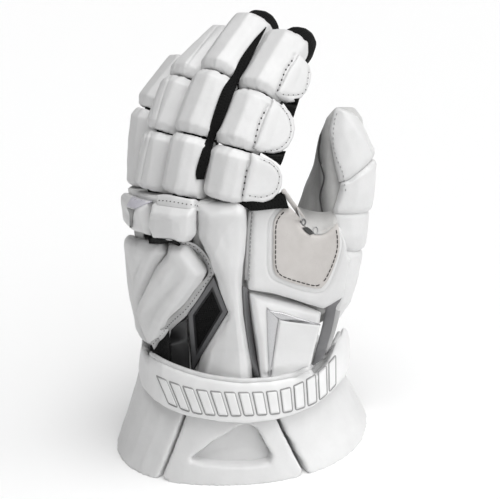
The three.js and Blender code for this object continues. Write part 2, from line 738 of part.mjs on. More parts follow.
// The rounded three-cornered window of the centre panel: up in shares of KNUCKLE_HEIGHT, round
// in degrees.
const WINDOW = {
  up: [0.083, 0.141, 0.189, 0.199, 0.184, 0.083, 0.061, 0.056, 0.061, 0.07],
  round: [104, 94.5, 84, 78, 73, 67.5, 69, 78, 90, 102],
};
const WINDOW_BACK = { wider: 0.6, foot: -10, head: -6 }; // the panel set in behind the window
const windowBody = (inset, foot, head) =>
  pad(
    onCuff,
    WINDOW.up.map((share, i) => [share * KNUCKLE_HEIGHT, WINDOW.round[i]]),
    [{ inset, rise: foot }, { inset, rise: head }],
  );

function strapBody(levels) {
  return loft(
    levels.map(({ share, rise }) =>
      Array.from({ length: STRAP_SIDES }, (_, i) => {
        const angle = (-360 * i) / STRAP_SIDES;
        const thumbSide = Math.max(0, Math.cos(radians(angle)));
        const tall = (STRAP.top - STRAP.bottom) * KNUCKLE_HEIGHT * (1 + STRAP.flare * thumbSide);
        const height = STRAP.bottom * KNUCKLE_HEIGHT + share * tall;
        const x = STRAP.reach * Math.cos(radians(angle));
        const point = onCuff(height, angle, rise, STRAP.palm);
        point.z += (STRAP.rise * x * x - STRAP.tilt * x) * PALM_WIDTH;
        return point;
      }),
    ),
  );
}

// The group
const glove = new THREE.Group();
const groups = {};
for (const name of ['hand', 'fingers', 'cuff', 'backhand', 'thumb', 'web']) {
  groups[name] = new THREE.Group();
  glove.add(groups[name]);
}
function add(group, name, body, material) {
  const mesh = new THREE.Mesh(geometry(body.simplify(TOLERANCE)), material.clone());
  mesh.name = name;
  groups[group].add(mesh);
}
const largest = (body) => body.decompose().sort((a, b) => b.volume() - a.volume())[0];

const fingers = FINGERS.map((finger) => ({
  ...finger,
  line: fingerLine(finger),
  width: FINGER_WIDTH * finger.size,
  depth: FINGER_DEPTH * finger.size,
}));
const thumb = thumbLine();

const shellOuter = shellBody(0);
const shellGrown = shellBody(GAP).add(shellOuter.translate([0, 0, GAP]));
const fingerCores = fingers.map(({ line, width, depth }) =>
  sleeveBody(line, width, depth, -3 * ROOT_LENGTH, -LEATHER),
);
const thumbCore = thumbBody(thumb, -LEATHER);
const shellCore = shellBody(
  -LEATHER,
  0,
  SHELL[0].height - CORE_FOOT,
  SHELL.at(-1).height - CORE_HEAD,
);
let shell = shellOuter.subtract(shellCore);
for (const core of [...fingerCores, thumbCore]) shell = shell.subtract(core);
add('hand', 'hand_shell', largest(shell), GREY_SUEDE);

// Each piece is cut clear of the pieces under or before it.
const placed = [{ grown: shellGrown }];
function place(group, name, make, material, clear = placed) {
  let body = make(0);
  for (const other of clear) body = body.subtract(other.grown);
  add(group, name, largest(body), material);
  const entry = { name, grown: make(GAP) };
  placed.push(entry);
  return entry;
}
const named = (...names) => placed.filter((entry) => names.includes(entry.name));

const thumbEntry = { name: 'thumb_sleeve', grown: thumbBody(thumb, GAP) };
const thumbSkin = thumbBody(thumb, 0).subtract(thumbCore).subtract(shellGrown);
add('thumb', 'thumb_sleeve', largest(thumbSkin), GREY_SUEDE);
placed.push(thumbEntry);

const PADS_CLEAR = 14; // how thick the pads over the knuckles are, which the fingers stop at
const shellWide = shellBody(PADS_CLEAR, GAP);
const before = [];
fingers.forEach((finger, i) => {
  const sleeve = (grow) => sleeveBody(finger.line, finger.width, finger.depth, -ROOT_LENGTH, grow);
  let body = sleeve(0).subtract(fingerCores[i]).subtract(shellWide).subtract(shellGrown);
  for (const other of before) body = body.subtract(other);
  add('fingers', `${finger.name}_sleeve`, largest(body), BLACK_MESH);
  const now = [sleeve(GAP)];
  const joints = [2, ...finger.line.joints, finger.line.end - FINGER_BEYOND];
  let from = 0;
  for (const [name, to] of Object.entries(finger.pads)) {
    let made = fingerPad(finger, joints[from], joints[to], 0).subtract(shellWide);
    made = made.subtract(shellGrown);
    for (const other of [now[0], ...before]) made = made.subtract(other);
    add('fingers', `${finger.name}_${name}_pad`, largest(made), WHITE_LEATHER);
    now.push(fingerPad(finger, joints[from], joints[to], GAP));
    from = to;
  }
  if (finger.name === 'index') {
    for (const row of FLAPS) {
      let made = fingerFlap(finger, row, 0).subtract(shellWide).subtract(shellGrown);
      for (const other of now.slice(0, 4)) made = made.subtract(other);
      add('fingers', row.name, largest(made), WHITE_LEATHER);
      now.push(fingerFlap(finger, row, GAP));
    }
  }
  before.push(...now);
  placed.push(...now.map((grown) => ({ name: finger.name, grown })));
});

for (const row of CUFF_PANELS) {
  const opened = (grow) => {
    const body = grow ? cuffPanel(row, grow) : cuffPanel(row, 0).intersect(cuffCorners(row));
    const hasWindow = row.name === 'cuff_center';
    return hasWindow ? body.subtract(windowBody(grow, -CUFF_THICK - 8, 6)) : body;
  };
  place('cuff', row.name, opened, WHITE_LEATHER, [placed[0], thumbEntry]);
}
place(
  'cuff',
  'cuff_window_panel',
  (grow) => windowBody(-WINDOW_BACK.wider - grow, WINDOW_BACK.foot, WINDOW_BACK.head),
  WHITE_LEATHER,
  named('cuff_center'),
);
place(
  'cuff',
  'wrist_strap',
  (grow) =>
    strapBody([
      { share: -0.04 * grow, rise: STRAP.edge + grow },
      { share: 0.06, rise: STRAP.out + grow },
      { share: 0.94, rise: STRAP.out + grow },
      { share: 1 + 0.04 * grow, rise: STRAP.edge + grow },
    ]).subtract(strapBody([{ share: -0.2, rise: 0.2 - grow }, { share: 1.2, rise: 0.2 - grow }])),
  WHITE_LEATHER,
);

for (const row of BACKHAND) {
  const material = FINISHES[row.name] ?? WHITE_LEATHER;
  place('backhand', row.name, (grow) => backhandPad(row, grow), material, [
    placed[0],
    ...named('index', 'middle', 'ring', 'pinky', 'wrist_strap', 'vent_core'),
  ]);
}
for (const row of THUMB_PADS) {
  place('thumb', row.name, (grow) => thumbPad(thumb, row, grow), WHITE_LEATHER, [
    placed[0],
    thumbEntry,
    ...named('wrist_strap', 'cuff_inner_side'),
  ]);
}
for (const row of WEB) {
  place('web', row.name, (grow) => webPad(row, grow), FINISHES[row.name] ?? WHITE_LEATHER);
}

// The origin goes to the middle of the glove's box, on the floor.
const box = new THREE.Box3().setFromObject(glove);
const middle = box.getCenter(new THREE.Vector3());
glove.position.set(-middle.x, -middle.y, -box.min.z);

export default glove;
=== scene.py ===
import json
import math

import bmesh
import bpy
import numpy as np
from mathutils import Matrix, Vector, noise
from mathutils.bvhtree import BVHTree

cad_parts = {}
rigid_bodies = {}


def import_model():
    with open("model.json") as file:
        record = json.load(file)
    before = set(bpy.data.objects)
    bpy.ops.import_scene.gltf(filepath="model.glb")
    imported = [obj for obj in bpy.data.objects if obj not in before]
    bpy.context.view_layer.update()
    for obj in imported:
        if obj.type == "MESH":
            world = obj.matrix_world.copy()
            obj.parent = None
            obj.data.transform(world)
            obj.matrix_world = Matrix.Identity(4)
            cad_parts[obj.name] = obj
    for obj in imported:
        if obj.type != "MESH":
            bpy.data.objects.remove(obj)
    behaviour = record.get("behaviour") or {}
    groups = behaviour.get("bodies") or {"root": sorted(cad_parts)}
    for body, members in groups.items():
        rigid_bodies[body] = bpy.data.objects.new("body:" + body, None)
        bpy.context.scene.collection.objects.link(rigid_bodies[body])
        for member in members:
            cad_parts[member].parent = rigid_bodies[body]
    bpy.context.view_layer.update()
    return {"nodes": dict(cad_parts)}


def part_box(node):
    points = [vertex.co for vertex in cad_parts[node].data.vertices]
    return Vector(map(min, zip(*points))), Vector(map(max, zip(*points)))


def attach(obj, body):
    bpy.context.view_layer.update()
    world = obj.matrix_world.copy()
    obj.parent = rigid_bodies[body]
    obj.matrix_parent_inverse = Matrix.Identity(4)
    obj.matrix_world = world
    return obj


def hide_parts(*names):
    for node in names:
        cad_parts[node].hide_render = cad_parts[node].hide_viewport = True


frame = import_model()

# Studio
# The glove stands on a pale floor in soft light. The camera looks from the thumb side, a little
# above, and is rolled as the photograph is.
MM = 0.001
PHOTO_WIDTH = 500
PHOTO_HEIGHT = 499
CAMERA_TURN = math.radians(30)
CAMERA_RISE = math.radians(22)
CAMERA_ROLL = math.radians(-7)
CAMERA_DISTANCE = 1.0
CAMERA_LENS = 100.0
SENSOR_WIDTH = 36.0
PIXEL = SENSOR_WIDTH / PHOTO_WIDTH / CAMERA_LENS
TARGET_FROM_HAND = Vector((26.18, 9.14, 39.82)) * MM
LAMP_DISTANCE = 1.6
SKY_SIDE = 0.8
SKY_DIM = 0.06
SKY_BRIGHT = 0.5
FLOOR_HALF = 8.0
FLOOR_COLOUR = (0.96, 0.96, 0.96, 1)


def direction(turn, rise):
    """Away from the glove, at a turn towards the thumb side and a rise above the floor."""
    return Vector((math.sin(turn) * math.cos(rise), -math.cos(turn) * math.cos(rise), math.sin(rise)))


hand_low, hand_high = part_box("hand_shell")
target = (hand_low + hand_high) / 2 + TARGET_FROM_HAND
camera_back = direction(CAMERA_TURN, CAMERA_RISE)
level_right = Vector((math.cos(CAMERA_TURN), math.sin(CAMERA_TURN), 0))
level_up = camera_back.cross(level_right)
camera_right = level_right * math.cos(CAMERA_ROLL) + level_up * math.sin(CAMERA_ROLL)
camera_up = level_up * math.cos(CAMERA_ROLL) - level_right * math.sin(CAMERA_ROLL)
camera_place = target + camera_back * CAMERA_DISTANCE
eye, eye_back, eye_right, eye_up = map(np.array, (camera_place, camera_back, camera_right, camera_up))

camera_data = bpy.data.cameras.new("camera")
camera_data.lens = CAMERA_LENS
camera_data.sensor_width = SENSOR_WIDTH
camera = bpy.data.objects.new("camera", camera_data)
turned = Matrix((camera_right, camera_up, camera_back)).transposed().to_4x4()
camera.matrix_world = Matrix.Translation(camera_place) @ turned
bpy.context.scene.collection.objects.link(camera)
bpy.context.scene.camera = camera


def sight_line(x, y):
    """The direction in which the camera sees a pixel of the photograph."""
    across = (x - PHOTO_WIDTH / 2) * PIXEL
    up = (PHOTO_HEIGHT / 2 - y) * PIXEL
    return (camera_right * across + camera_up * up - camera_back).normalized()


def soft_light(name, turn, rise, spread, power):
    """A wide sun that faces the glove. Its turn, rise and spread are in degrees."""
    data = bpy.data.lights.new(name, "SUN")
    data.angle = math.radians(spread)
    data.energy = power
    light = bpy.data.objects.new(name, data)
    away = direction(math.radians(turn), math.radians(rise))
    light.location = target + away * LAMP_DISTANCE
    light.rotation_mode = "QUATERNION"
    light.rotation_quaternion = away.to_track_quat("Z", "Y")
    bpy.context.scene.collection.objects.link(light)


def fed(tree, target_node, values):
    """Sets a node's inputs by name, to numbers, colours or another node's output."""
    for key, value in values.items():
        if isinstance(value, bpy.types.NodeSocket):
            tree.links.new(value, target_node.inputs[key])
        else:
            target_node.inputs[key].default_value = value
    return target_node


def node(tree, kind, values, **settings):
    """A new node with its settings and inputs."""
    made = tree.nodes.new("ShaderNode" + kind)
    for key, value in settings.items():
        setattr(made, key, value)
    return fed(tree, made, values)


def finished(material, values):
    """Sets the inputs of a material's shader."""
    fed(material.node_tree, material.node_tree.nodes["Principled BSDF"], values)
    return material


def new_piece(name, corners, faces):
    """A new piece with a mesh of those corners and faces."""
    mesh = bpy.data.meshes.new(name)
    mesh.from_pydata(corners, [], faces)
    piece = bpy.data.objects.new(name, mesh)
    bpy.context.scene.collection.objects.link(piece)
    return piece


soft_light("overhead", 60, 80, 45, 1.5)
soft_light("key_light", 80, 42, 70, 1.5)

world = bpy.data.worlds.new("studio")
world.use_nodes = True
sky = world.node_tree
sky_parts = node(sky, "SeparateXYZ", {"Vector": node(sky, "TexCoord", {}).outputs["Generated"]})
sky_range = {"From Min": -SKY_SIDE, "From Max": SKY_SIDE, "To Min": SKY_DIM, "To Max": SKY_BRIGHT}
sky_sides = node(sky, "MapRange", {"Value": sky_parts.outputs["X"], **sky_range})
fed(sky, sky.nodes["Background"], {"Strength": sky_sides.outputs["Result"], "Color": (1, 1, 1, 1)})
bpy.context.scene.world = world
bpy.context.scene.view_settings.view_transform = "Standard"

floor_corners = [(x * FLOOR_HALF, y * FLOOR_HALF, 0) for x, y in ((-1, -1), (1, -1), (1, 1), (-1, 1))]
floor = new_piece("floor", floor_corners, [(0, 1, 2, 3)])
floor_paint = bpy.data.materials.new("floor_paint")
floor_paint.use_nodes = True
floor.data.materials.append(finished(floor_paint, {"Base Color": FLOOR_COLOUR, "Roughness": 0.8}))

# Palm and back of the hand
# One hollow shell: a suede palm sewn to the backing that the pads of the back sit on. It is
# open at the wrist, and cut open into each finger and the thumb.
SHELL_CELL = 1.0 * MM
ROD_SIDES = 8
PALM_SEAMS = [
    [(40, 95), (36, 125), (20, 150), (0, 165), (-30, 172), (-60, 165)],
    [(-62, 60), (-66, 100), (-62, 140), (-60, 165)],
    [(-5, 60), (-2, 100), (4, 135), (6, 160)],
]
HAND_PUFF = 0.25 * MM
HAND_UNEVEN = 0.35 * MM
# A groove is its width and depth. A stitch is its length, its pitch and the thread's radius.
PALM_GROOVE = (1.4 * MM, 0.7 * MM)
PALM_STITCH = (2.4 * MM, 3.4 * MM, 0.35 * MM)


def shader(name):
    """A new material, its node tree and the place that its textures follow."""
    made = bpy.data.materials.new(name)
    made.use_nodes = True
    return made, made.node_tree, node(made.node_tree, "TexCoord", {}).outputs["Object"]


def ramp(tree, factor, stops):
    """Colours, or greys, that follow a factor."""
    made = node(tree, "ValToRGB", {"Fac": factor})
    elements = made.color_ramp.elements
    while len(elements) < len(stops):
        elements.new(1)
    for element, (place, colour) in zip(elements, stops):
        element.position = place
        element.color = (*colour, 1) if isinstance(colour, tuple) else (colour, colour, colour, 1)
    return made.outputs["Color"]


def raised(tree, height, distance, under=None, strength=1.0):
    """A bump of that many metres over another bump."""
    values = {"Height": height, "Distance": distance, "Strength": strength}
    if under is not None:
        values["Normal"] = under
    return node(tree, "Bump", values).outputs["Normal"]


def clouds(tree, place, scale, detail, roughness=0.5):
    """Cloudy noise that follows a place."""
    values = {"Vector": place, "Scale": scale, "Detail": detail, "Roughness": roughness}
    return node(tree, "TexNoise", values).outputs["Fac"]


def suede(name, dark, light):
    """Brushed leather: a short nap with lighter and darker strokes, over a fine pore."""
    made, tree, place = shader(name)
    stroke = clouds(tree, place, 55, 5, 0.6)
    nap = clouds(tree, place, 1500, 3, 0.7)
    pores = node(tree, "TexVoronoi", {"Vector": place, "Scale": 1900}).outputs["Distance"]
    normal = raised(tree, nap, 0.00018, raised(tree, pores, 0.00008))
    return finished(made, {
        "Base Color": ramp(tree, stroke, [(0.3, dark), (0.7, light)]),
        "Roughness": ramp(tree, nap, [(0.2, 0.82), (0.8, 0.98)]),
        "Normal": raised(tree, stroke, 0.0006, normal, 0.6),
        "Sheen Weight": 0.35,
        "Sheen Roughness": 0.6,
        "Specular IOR Level": 0.25,
    })


def packed_shape(name, node_name):
    """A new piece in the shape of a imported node, with its corners welded."""
    piece = bpy.data.objects.new(name, frame["nodes"][node_name].data.copy())
    bpy.context.scene.collection.objects.link(piece)
    piece.data.materials.clear()
    shape = bmesh.new()
    shape.from_mesh(piece.data)
    bmesh.ops.remove_doubles(shape, verts=shape.verts, dist=1e-6)
    shape.to_mesh(piece.data)
    shape.free()
    return piece


def settled(piece, *steps):
    """Runs modifiers, each a kind and its settings, and keeps the result as the piece's mesh."""
    for kind, settings in steps:
        modifier = piece.modifiers.new(kind.lower(), kind)
        for key, value in settings.items():
            setattr(modifier, key, value)
    made = bpy.data.meshes.new_from_object(piece.evaluated_get(bpy.context.evaluated_depsgraph_get()))
    piece.modifiers.clear()
    old = piece.data
    piece.data = made
    bpy.data.meshes.remove(old)
    made.name = piece.name
    return piece


def remeshed(name, node_name, cell, rounds, keep=None):
    """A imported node's shape, evenly meshed and smoothed, with a share of its faces kept."""
    remesh = ("REMESH", {"mode": "VOXEL", "voxel_size": cell})
    smooth = ("SMOOTH", {"factor": 0.5, "iterations": rounds})
    thin = [("DECIMATE", {"ratio": keep})] if keep else []
    return settled(packed_shape(name, node_name), remesh, smooth, *thin)


def points_of(piece):
    points = np.empty(len(piece.data.vertices) * 3)
    piece.data.vertices.foreach_get("co", points)
    return points.reshape(-1, 3)


def normals_of(piece):
    normals = np.empty(len(piece.data.vertices) * 3)
    piece.data.vertices.foreach_get("normal", normals)
    return normals.reshape(-1, 3)


def set_points(piece, points):
    piece.data.vertices.foreach_set("co", points.ravel())
    piece.data.update()


def pressed(piece, amount):
    """Moves each point of a piece out along its normal, by metres for each point."""
    set_points(piece, points_of(piece) + normals_of(piece) * np.asarray(amount).reshape(-1, 1))


def ripple(points, stretch, seed):
    """Smooth unevenness from -1 to 1 at each point. stretch is how many waves a metre has."""
    scaled = points * np.asarray(stretch) + seed
    return np.array([noise.noise(Vector(p)) for p in scaled])


def dressed(piece, material, slot, *nodes):
    """Gives a piece its material, and lets it stand for its nodes on the one body."""
    piece.data.materials.clear()
    piece.data.materials.append(material)
    piece.data.polygons.foreach_set("use_smooth", [True] * len(piece.data.polygons))
    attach(piece, "root")
    if nodes:
        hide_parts(*nodes)
    return piece


def surface_of(*pieces):
    """One surface made of some pieces, for finding what a line of sight meets."""
    corners, faces = [], []
    for piece in pieces:
        start = len(corners)
        corners.extend(points_of(piece).tolist())
        faces.extend([start + i for i in face.vertices] for face in piece.data.polygons)
    return BVHTree.FromPolygons(corners, faces)


def curved(marks):
    """A smooth line through marks."""
    marks = np.array(marks, float)
    ends = np.vstack([2 * marks[0] - marks[1], marks, 2 * marks[-1] - marks[-2]])
    t = np.linspace(0, 1, 12, endpoint=False)[:, None]
    parts = []
    for a, b, c, d in zip(ends, ends[1:], ends[2:], ends[3:]):
        parts.append(
            b
            + (c - a) * t / 2
            + (a - 2.5 * b + 2 * c - d / 2) * t**2
            + (3 * b - a - 3 * c + d) * t**3 / 2
        )
    return np.vstack([*parts, marks[-1:]])


def run_of(line, places=3):
    """The length along a line up to each of its points. Its first columns are its places."""
    return np.r_[0, np.cumsum(np.linalg.norm(np.diff(line[:, :places], axis=0), axis=1))]


def sampled(line, along, at):
    return np.column_stack([np.interp(at, along, column) for column in line.T])


def spaced(line, step, places=3):
    """The same line with its points evenly spaced."""
    along = run_of(line, places)
    count = max(3, round(along[-1] / step) + 1)
    return sampled(line, along, np.linspace(0, along[-1], count))


def sights(marks, sharp=False):
    """The lines of sight through a line of marks on the photograph, a pixel apart."""
    line = np.array(marks, float) if sharp else curved(marks)
    return [(camera_place, sight_line(x, y)) for x, y in spaced(line, 1, 2)]


def palm_sights(marks, sharp=False):
    """Lines straight in from the palm side, through marks (x, z) in millimetres."""
    line = np.array(marks, float) if sharp else curved(marks)
    far = 300 * MM
    return [(Vector((x * MM, far, z * MM)), Vector((0, -1, 0))) for x, z in spaced(line, 1, 2)]


def laid(surface, lines, step=0.6 * MM):
    """Points and normals, evenly spaced, where those lines meet a surface."""
    found = [surface.ray_cast(*line)[:2] for line in lines]
    rows = np.array([[*place, *normal] for place, normal in found if place])
    for _ in range(3):
        rows[1:-1] = (rows[:-2] + 2 * rows[1:-1] + rows[2:]) / 4
    rows = spaced(rows, step)
    normals = rows[:, 3:] / np.linalg.norm(rows[:, 3:], axis=1, keepdims=True)
    return rows[:, :3], normals


def seen_on(marks, *pieces):
    """Points and normals where a line of marks on the photograph falls on some pieces."""
    return laid(surface_of(*pieces), sights(marks))


def beside(piece, line, reach):
    """The points of a piece that lie within reach of a line, and how far each is from it."""
    points = points_of(piece)
    inside = (points > line.min(0) - reach) & (points < line.max(0) + reach)
    index = np.flatnonzero(inside.all(axis=1))
    gap = np.linalg.norm(points[index, None] - line[None], axis=2).min(axis=1)
    return index[gap < reach], gap[gap < reach]


def channelled(piece, line, width, depth):
    """Presses a rounded channel into a piece along a line, or a raised one if depth is negative."""
    index, gap = beside(piece, line, 2.5 * width)
    amount = np.zeros(len(piece.data.vertices))
    amount[index] = -depth * np.exp(-((gap / width) ** 2))
    pressed(piece, amount)


def folded(piece, line, reach, height):
    """Raises a crisp ridge along a line, with a flat slope down each side of it."""
    index, gap = beside(piece, line, reach)
    amount = np.zeros(len(piece.data.vertices))
    amount[index] = height * (1 - gap / reach)
    pressed(piece, amount)


def rods(name, parts):
    """One mesh of round rods. Each has points, a direction square to it there, and its radii."""
    corners, faces = [], []
    turns = (np.arange(ROD_SIDES) * 2 * math.pi / ROD_SIDES)[None, :, None]
    for points, out, radii in parts:
        ahead = np.gradient(points, axis=0)
        ahead /= np.linalg.norm(ahead, axis=1, keepdims=True)
        side = np.cross(ahead, out)
        side /= np.linalg.norm(side, axis=1, keepdims=True)
        up = np.cross(side, ahead)
        ring = np.cos(turns) * side[:, None] + np.sin(turns) * up[:, None]
        start = len(corners)
        corners.extend((points[:, None] + np.reshape(radii, (-1, 1, 1)) * ring).reshape(-1, 3).tolist())
        last = start + (len(points) - 1) * ROD_SIDES
        for row in range(start, last, ROD_SIDES):
            for i in range(ROD_SIDES):
                j = (i + 1) % ROD_SIDES
                faces.append((row + i, row + j, row + ROD_SIDES + j, row + ROD_SIDES + i))
        faces.append(tuple(range(start + ROD_SIDES - 1, start - 1, -1)))
        faces.append(tuple(range(last, last + ROD_SIDES)))
    return new_piece(name, corners, faces)


def piping(name, line, radius, sunk=0.0):
    """A round cord sewn along a line, with rounded ends."""
    points, normals = line
    radii = np.full(len(points), radius)
    radii[[0, -1]] = radius * 0.5
    return rods(name, [(points + normals * (radius - sunk), normals, radii)])


def stitches(name, lines, length, pitch, radius, start=0.5):
    """Thread sewn along lines on a surface: short stitches with their ends pulled in."""
    arch = np.array([-0.7, 0.25, 0.45, 0.25, -0.7]) * radius
    thick = np.array([0.6, 1.0, 1.0, 1.0, 0.6]) * radius
    parts = []
    for points, normals in lines:
        along = run_of(points)
        for first in np.arange(pitch * start, along[-1] - length, pitch):
            at = first + length * np.linspace(0, 1, len(arch))
            out = sampled(normals, along, at)
            parts.append((sampled(points, along, at) + out * arch[:, None], out, thick))
    return rods(name, parts)


def thread(name, colour):
    """Bonded sewing thread, twisted."""
    made, tree, place = shader(name)
    twist = node(tree, "TexWave", {"Vector": place, "Scale": 900, "Distortion": 1.5}).outputs["Fac"]
    shade = tuple(channel * 0.8 for channel in colour)
    return finished(made, {
        "Base Color": ramp(tree, twist, [(0.2, shade), (0.8, colour)]),
        "Normal": raised(tree, twist, 0.00012),
        "Roughness": 0.6,
    })


palm_suede = suede("palm_suede", (0.56, 0.56, 0.56), (0.68, 0.68, 0.67))
hand = remeshed("hand", "hand_shell", SHELL_CELL, 6, 0.25)
pressed(hand, HAND_PUFF + HAND_UNEVEN * ripple(points_of(hand), 70, 3))
dressed(hand, palm_suede, "suede", "hand_shell")

grey_thread = thread("grey_thread", (0.42, 0.42, 0.42))
palm_surface = surface_of(hand)
palm_lines = [laid(palm_surface, palm_sights(marks)) for marks in PALM_SEAMS]
for points, _ in palm_lines:
    channelled(hand, points, *PALM_GROOVE)
dressed(stitches("palm_stitches", palm_lines, *PALM_STITCH), grey_thread, "suede")

# Finger sleeves
# Black knitted mesh closes the sides and tips of the fingers, under the pads. It is sewn in as
# tubes with round tips, a little fuller than the finger.
FINGERS = ("index", "middle", "ring", "pinky")
SLEEVE_CELL = 1.0 * MM
SLEEVE_PUFF = 0.3 * MM
TIP_PUFF = 1.6 * MM
INDEX_TIP_BULGE = np.array((3.6, 0.0, -1.0)) * MM
INDEX_TIP_REACH = 24 * MM


def knit(name, hole, yarn):
    """Spacer mesh: rows of small holes between raised yarns."""
    made, tree, place = shader(name)
    cells = node(tree, "TexVoronoi", {"Vector": place, "Scale": 620, "Randomness": 0.25})
    holes = cells.outputs["Distance"]
    normal = raised(tree, ramp(tree, holes, [(0.1, 0.0), (0.5, 1.0)]), 0.0004)
    return finished(made, {
        "Base Color": ramp(tree, holes, [(0.16, hole), (0.42, yarn)]),
        "Normal": raised(tree, clouds(tree, place, 2600, 2), 0.0001, normal),
        "Roughness": 0.85,
        "Sheen Weight": 0.03,
        "Specular IOR Level": 0.12,
    })


black_mesh = knit("black_mesh", (0.001, 0.001, 0.001), (0.006, 0.006, 0.006))
for finger in FINGERS:
    sleeve = remeshed(f"{finger}_mesh", f"{finger}_sleeve", SLEEVE_CELL, 4, 0.5)
    height = points_of(sleeve)[:, 2]
    fullness = np.clip((height - height.min()) / np.ptp(height), 0, 1) ** 2
    pressed(sleeve, SLEEVE_PUFF + TIP_PUFF * fullness)
    if finger == "index":
        points = points_of(sleeve)
        from_tip = np.linalg.norm(points - points[points[:, 2].argmax()], axis=1)
        near = np.exp(-(from_tip / INDEX_TIP_REACH) ** 4)
        set_points(sleeve, points + INDEX_TIP_BULGE * near[:, None])
    dressed(sleeve, black_mesh, "mesh_knit", f"{finger}_sleeve")

# Finger pads
# Each bone of a finger is covered by a cut foam block under white synthetic leather. The leather
# is turned in and gathered at the pad's ends, so small pleats run in from the grooves.
PADS = {finger: ("base", "middle", "tip") for finger in FINGERS[:3]} | {"pinky": ("base", "tip")}
PAD_CELL = 0.95 * MM
PAD_ROUNDS = 8
PAD_PUFF = 0.35 * MM
FOAM_UNEVEN = 0.18 * MM
FOAM_GRAIN = 0.06 * MM
PLEAT_DEPTH = 0.55 * MM
PLEAT_REACH = 3.5 * MM
RING_SEAMS = {
    "ring_base_pad": [[(151, 132), (145, 156), (140, 181)], [(147, 131), (140.5, 155), (135.5, 178)]],
    "ring_middle_pad": [[(170.5, 74), (161, 101), (154, 128)], [(164.5, 75), (155, 99), (149, 121)]],
    "ring_tip_pad": [[(217, 26), (203, 43), (186, 65)]],
}
RING_GROOVE = (0.8 * MM, 0.7 * MM)


def multiplied(tree, one, other):
    """One colour darkened by another."""
    values = {"Factor": 1.0, 6: one, 7: other}
    return node(tree, "Mix", values, data_type="RGBA", blend_type="MULTIPLY").outputs[2]


def leather(name, shade, light, roughness):
    """Coated synthetic leather: a fine pebble over soft creases, with painted shade darkening its hollows."""
    made, tree, place = shader(name)
    cells = {"Vector": place, "Scale": 1250, "Randomness": 0.9}
    pebble = node(tree, "TexVoronoi", cells, feature="DISTANCE_TO_EDGE").outputs["Distance"]
    crease = clouds(tree, place, 240, 5, 0.6)
    edge = node(tree, "NewGeometry", {}).outputs["Pointiness"]
    body = ramp(tree, clouds(tree, place, 38, 4, 0.55), [(0.3, shade), (0.7, light)])
    # Painted shade: the colour is darkened where the surface is hollow, as if shade fell in its creases.
    painted_crease_shade = ramp(tree, edge, [(0.44, 0.8), (0.485, 1.0)])
    normal = raised(tree, ramp(tree, pebble, [(0.0, 0.0), (0.25, 1.0)]), 0.00003)
    return finished(made, {
        "Base Color": multiplied(tree, body, painted_crease_shade),
        "Roughness": ramp(tree, crease, [(0.3, roughness - 0.05), (0.7, roughness + 0.08)]),
        "Normal": raised(tree, crease, 0.00016, normal, 0.7),
        "Coat Weight": 0.12,
        "Coat Roughness": 0.35,
    })


def foam_block(name, node_name, cell, rounds, puff):
    """A node's shape as foam under leather: evenly meshed, its edges rounded and a bit swollen."""
    piece = remeshed(name, node_name, cell, rounds)
    points = points_of(piece)
    seed = sum(map(ord, name)) % 97
    uneven, grain = ripple(points, 95, seed), ripple(points, 300, seed)
    pressed(piece, puff + FOAM_UNEVEN * uneven + FOAM_GRAIN * grain)
    return piece


def gathered(piece, axis, depth, reach):
    """Draws pleats into both ends of a pad, along its axis."""
    points = points_of(piece)
    along = points @ axis
    from_end = np.minimum(along - along.min(), along.max() - along)
    seed = sum(map(ord, piece.name)) % 89
    across = points - np.outer(along, axis)
    pleat = ripple(across * 330 + np.outer(along, axis) * 60, 1, seed)
    fade = np.exp(-from_end / reach) + 0.25 * np.exp(-from_end / (4 * reach))
    pressed(piece, -depth * fade * np.clip(pleat + 0.15, 0, 1) * 1.6)


white_leather = leather("white_leather", (0.66, 0.66, 0.66), (0.72, 0.72, 0.72), 0.42)
finger_pads = {}
for finger, names in PADS.items():
    middles = [sum(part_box(f"{finger}_{name}_pad"), Vector()) / 2 for name in names]
    for i, name in enumerate(names):
        axis = (middles[min(i + 1, len(names) - 1)] - middles[max(i - 1, 0)]).normalized()
        node_name = f"{finger}_{name}_pad"
        pad = foam_block(f"{finger}_{name}_block", node_name, PAD_CELL, PAD_ROUNDS, PAD_PUFF)
        gathered(pad, np.array(axis), PLEAT_DEPTH, PLEAT_REACH)
        finger_pads[node_name] = dressed(pad, white_leather, "white_leather", node_name)
for node_name, seams in RING_SEAMS.items():
    for marks in seams:
        line, _ = seen_on(marks, finger_pads[node_name])
        channelled(finger_pads[node_name], line, *RING_GROOVE)

# Side flaps of the index finger
# Half-round foam flaps guard the thumb side of the index finger. A row of stitches joins each
# to its pad, another runs round inside its rim, and a cut facet lies beside the joining row.
FLAP_CELL = 0.7 * MM
FLAP_SEAMS = {
    "tip": {
        "hinge": [(295.1, 54.5), (292, 60.7), (287.5, 67), (284.4, 72.5), (279.5, 86.2), (276.8, 92.9)],
        "rim": [(302, 50), (307.1, 54.5), (309, 68), (308, 78), (304.5, 92), (293.8, 95), (280.4, 94.2)],
        "facet": [(293.8, 62.5), (288, 77), (283, 89.3)],
    },
    "middle": {
        "hinge": [(268.1, 105.8), (261, 118.8), (257, 131.5), (254.8, 142.5), (254, 149)],
        "rim": [(277, 101.4), (287.8, 115.4), (291.1, 128), (288.4, 139.6), (278.4, 148.9), (263, 151.6)],
        "facet": [(270.4, 111.4), (264.5, 131), (259.6, 150.3)],
    },
    "base": {
        "hinge": [(248.9, 162.3), (245.6, 175.3), (243.8, 189.8), (242.9, 195.8)],
        "rim": [(257, 157.6), (271.7, 164.3), (279, 174), (278.4, 183.7), (274, 192.5), (262, 197.1),
         (248, 195.5)],
        "facet": [(257, 162.3), (251, 178), (246.2, 193)],
    },
}
FLAP_ROUNDS = 7
FLAP_PUFF = 0.3 * MM
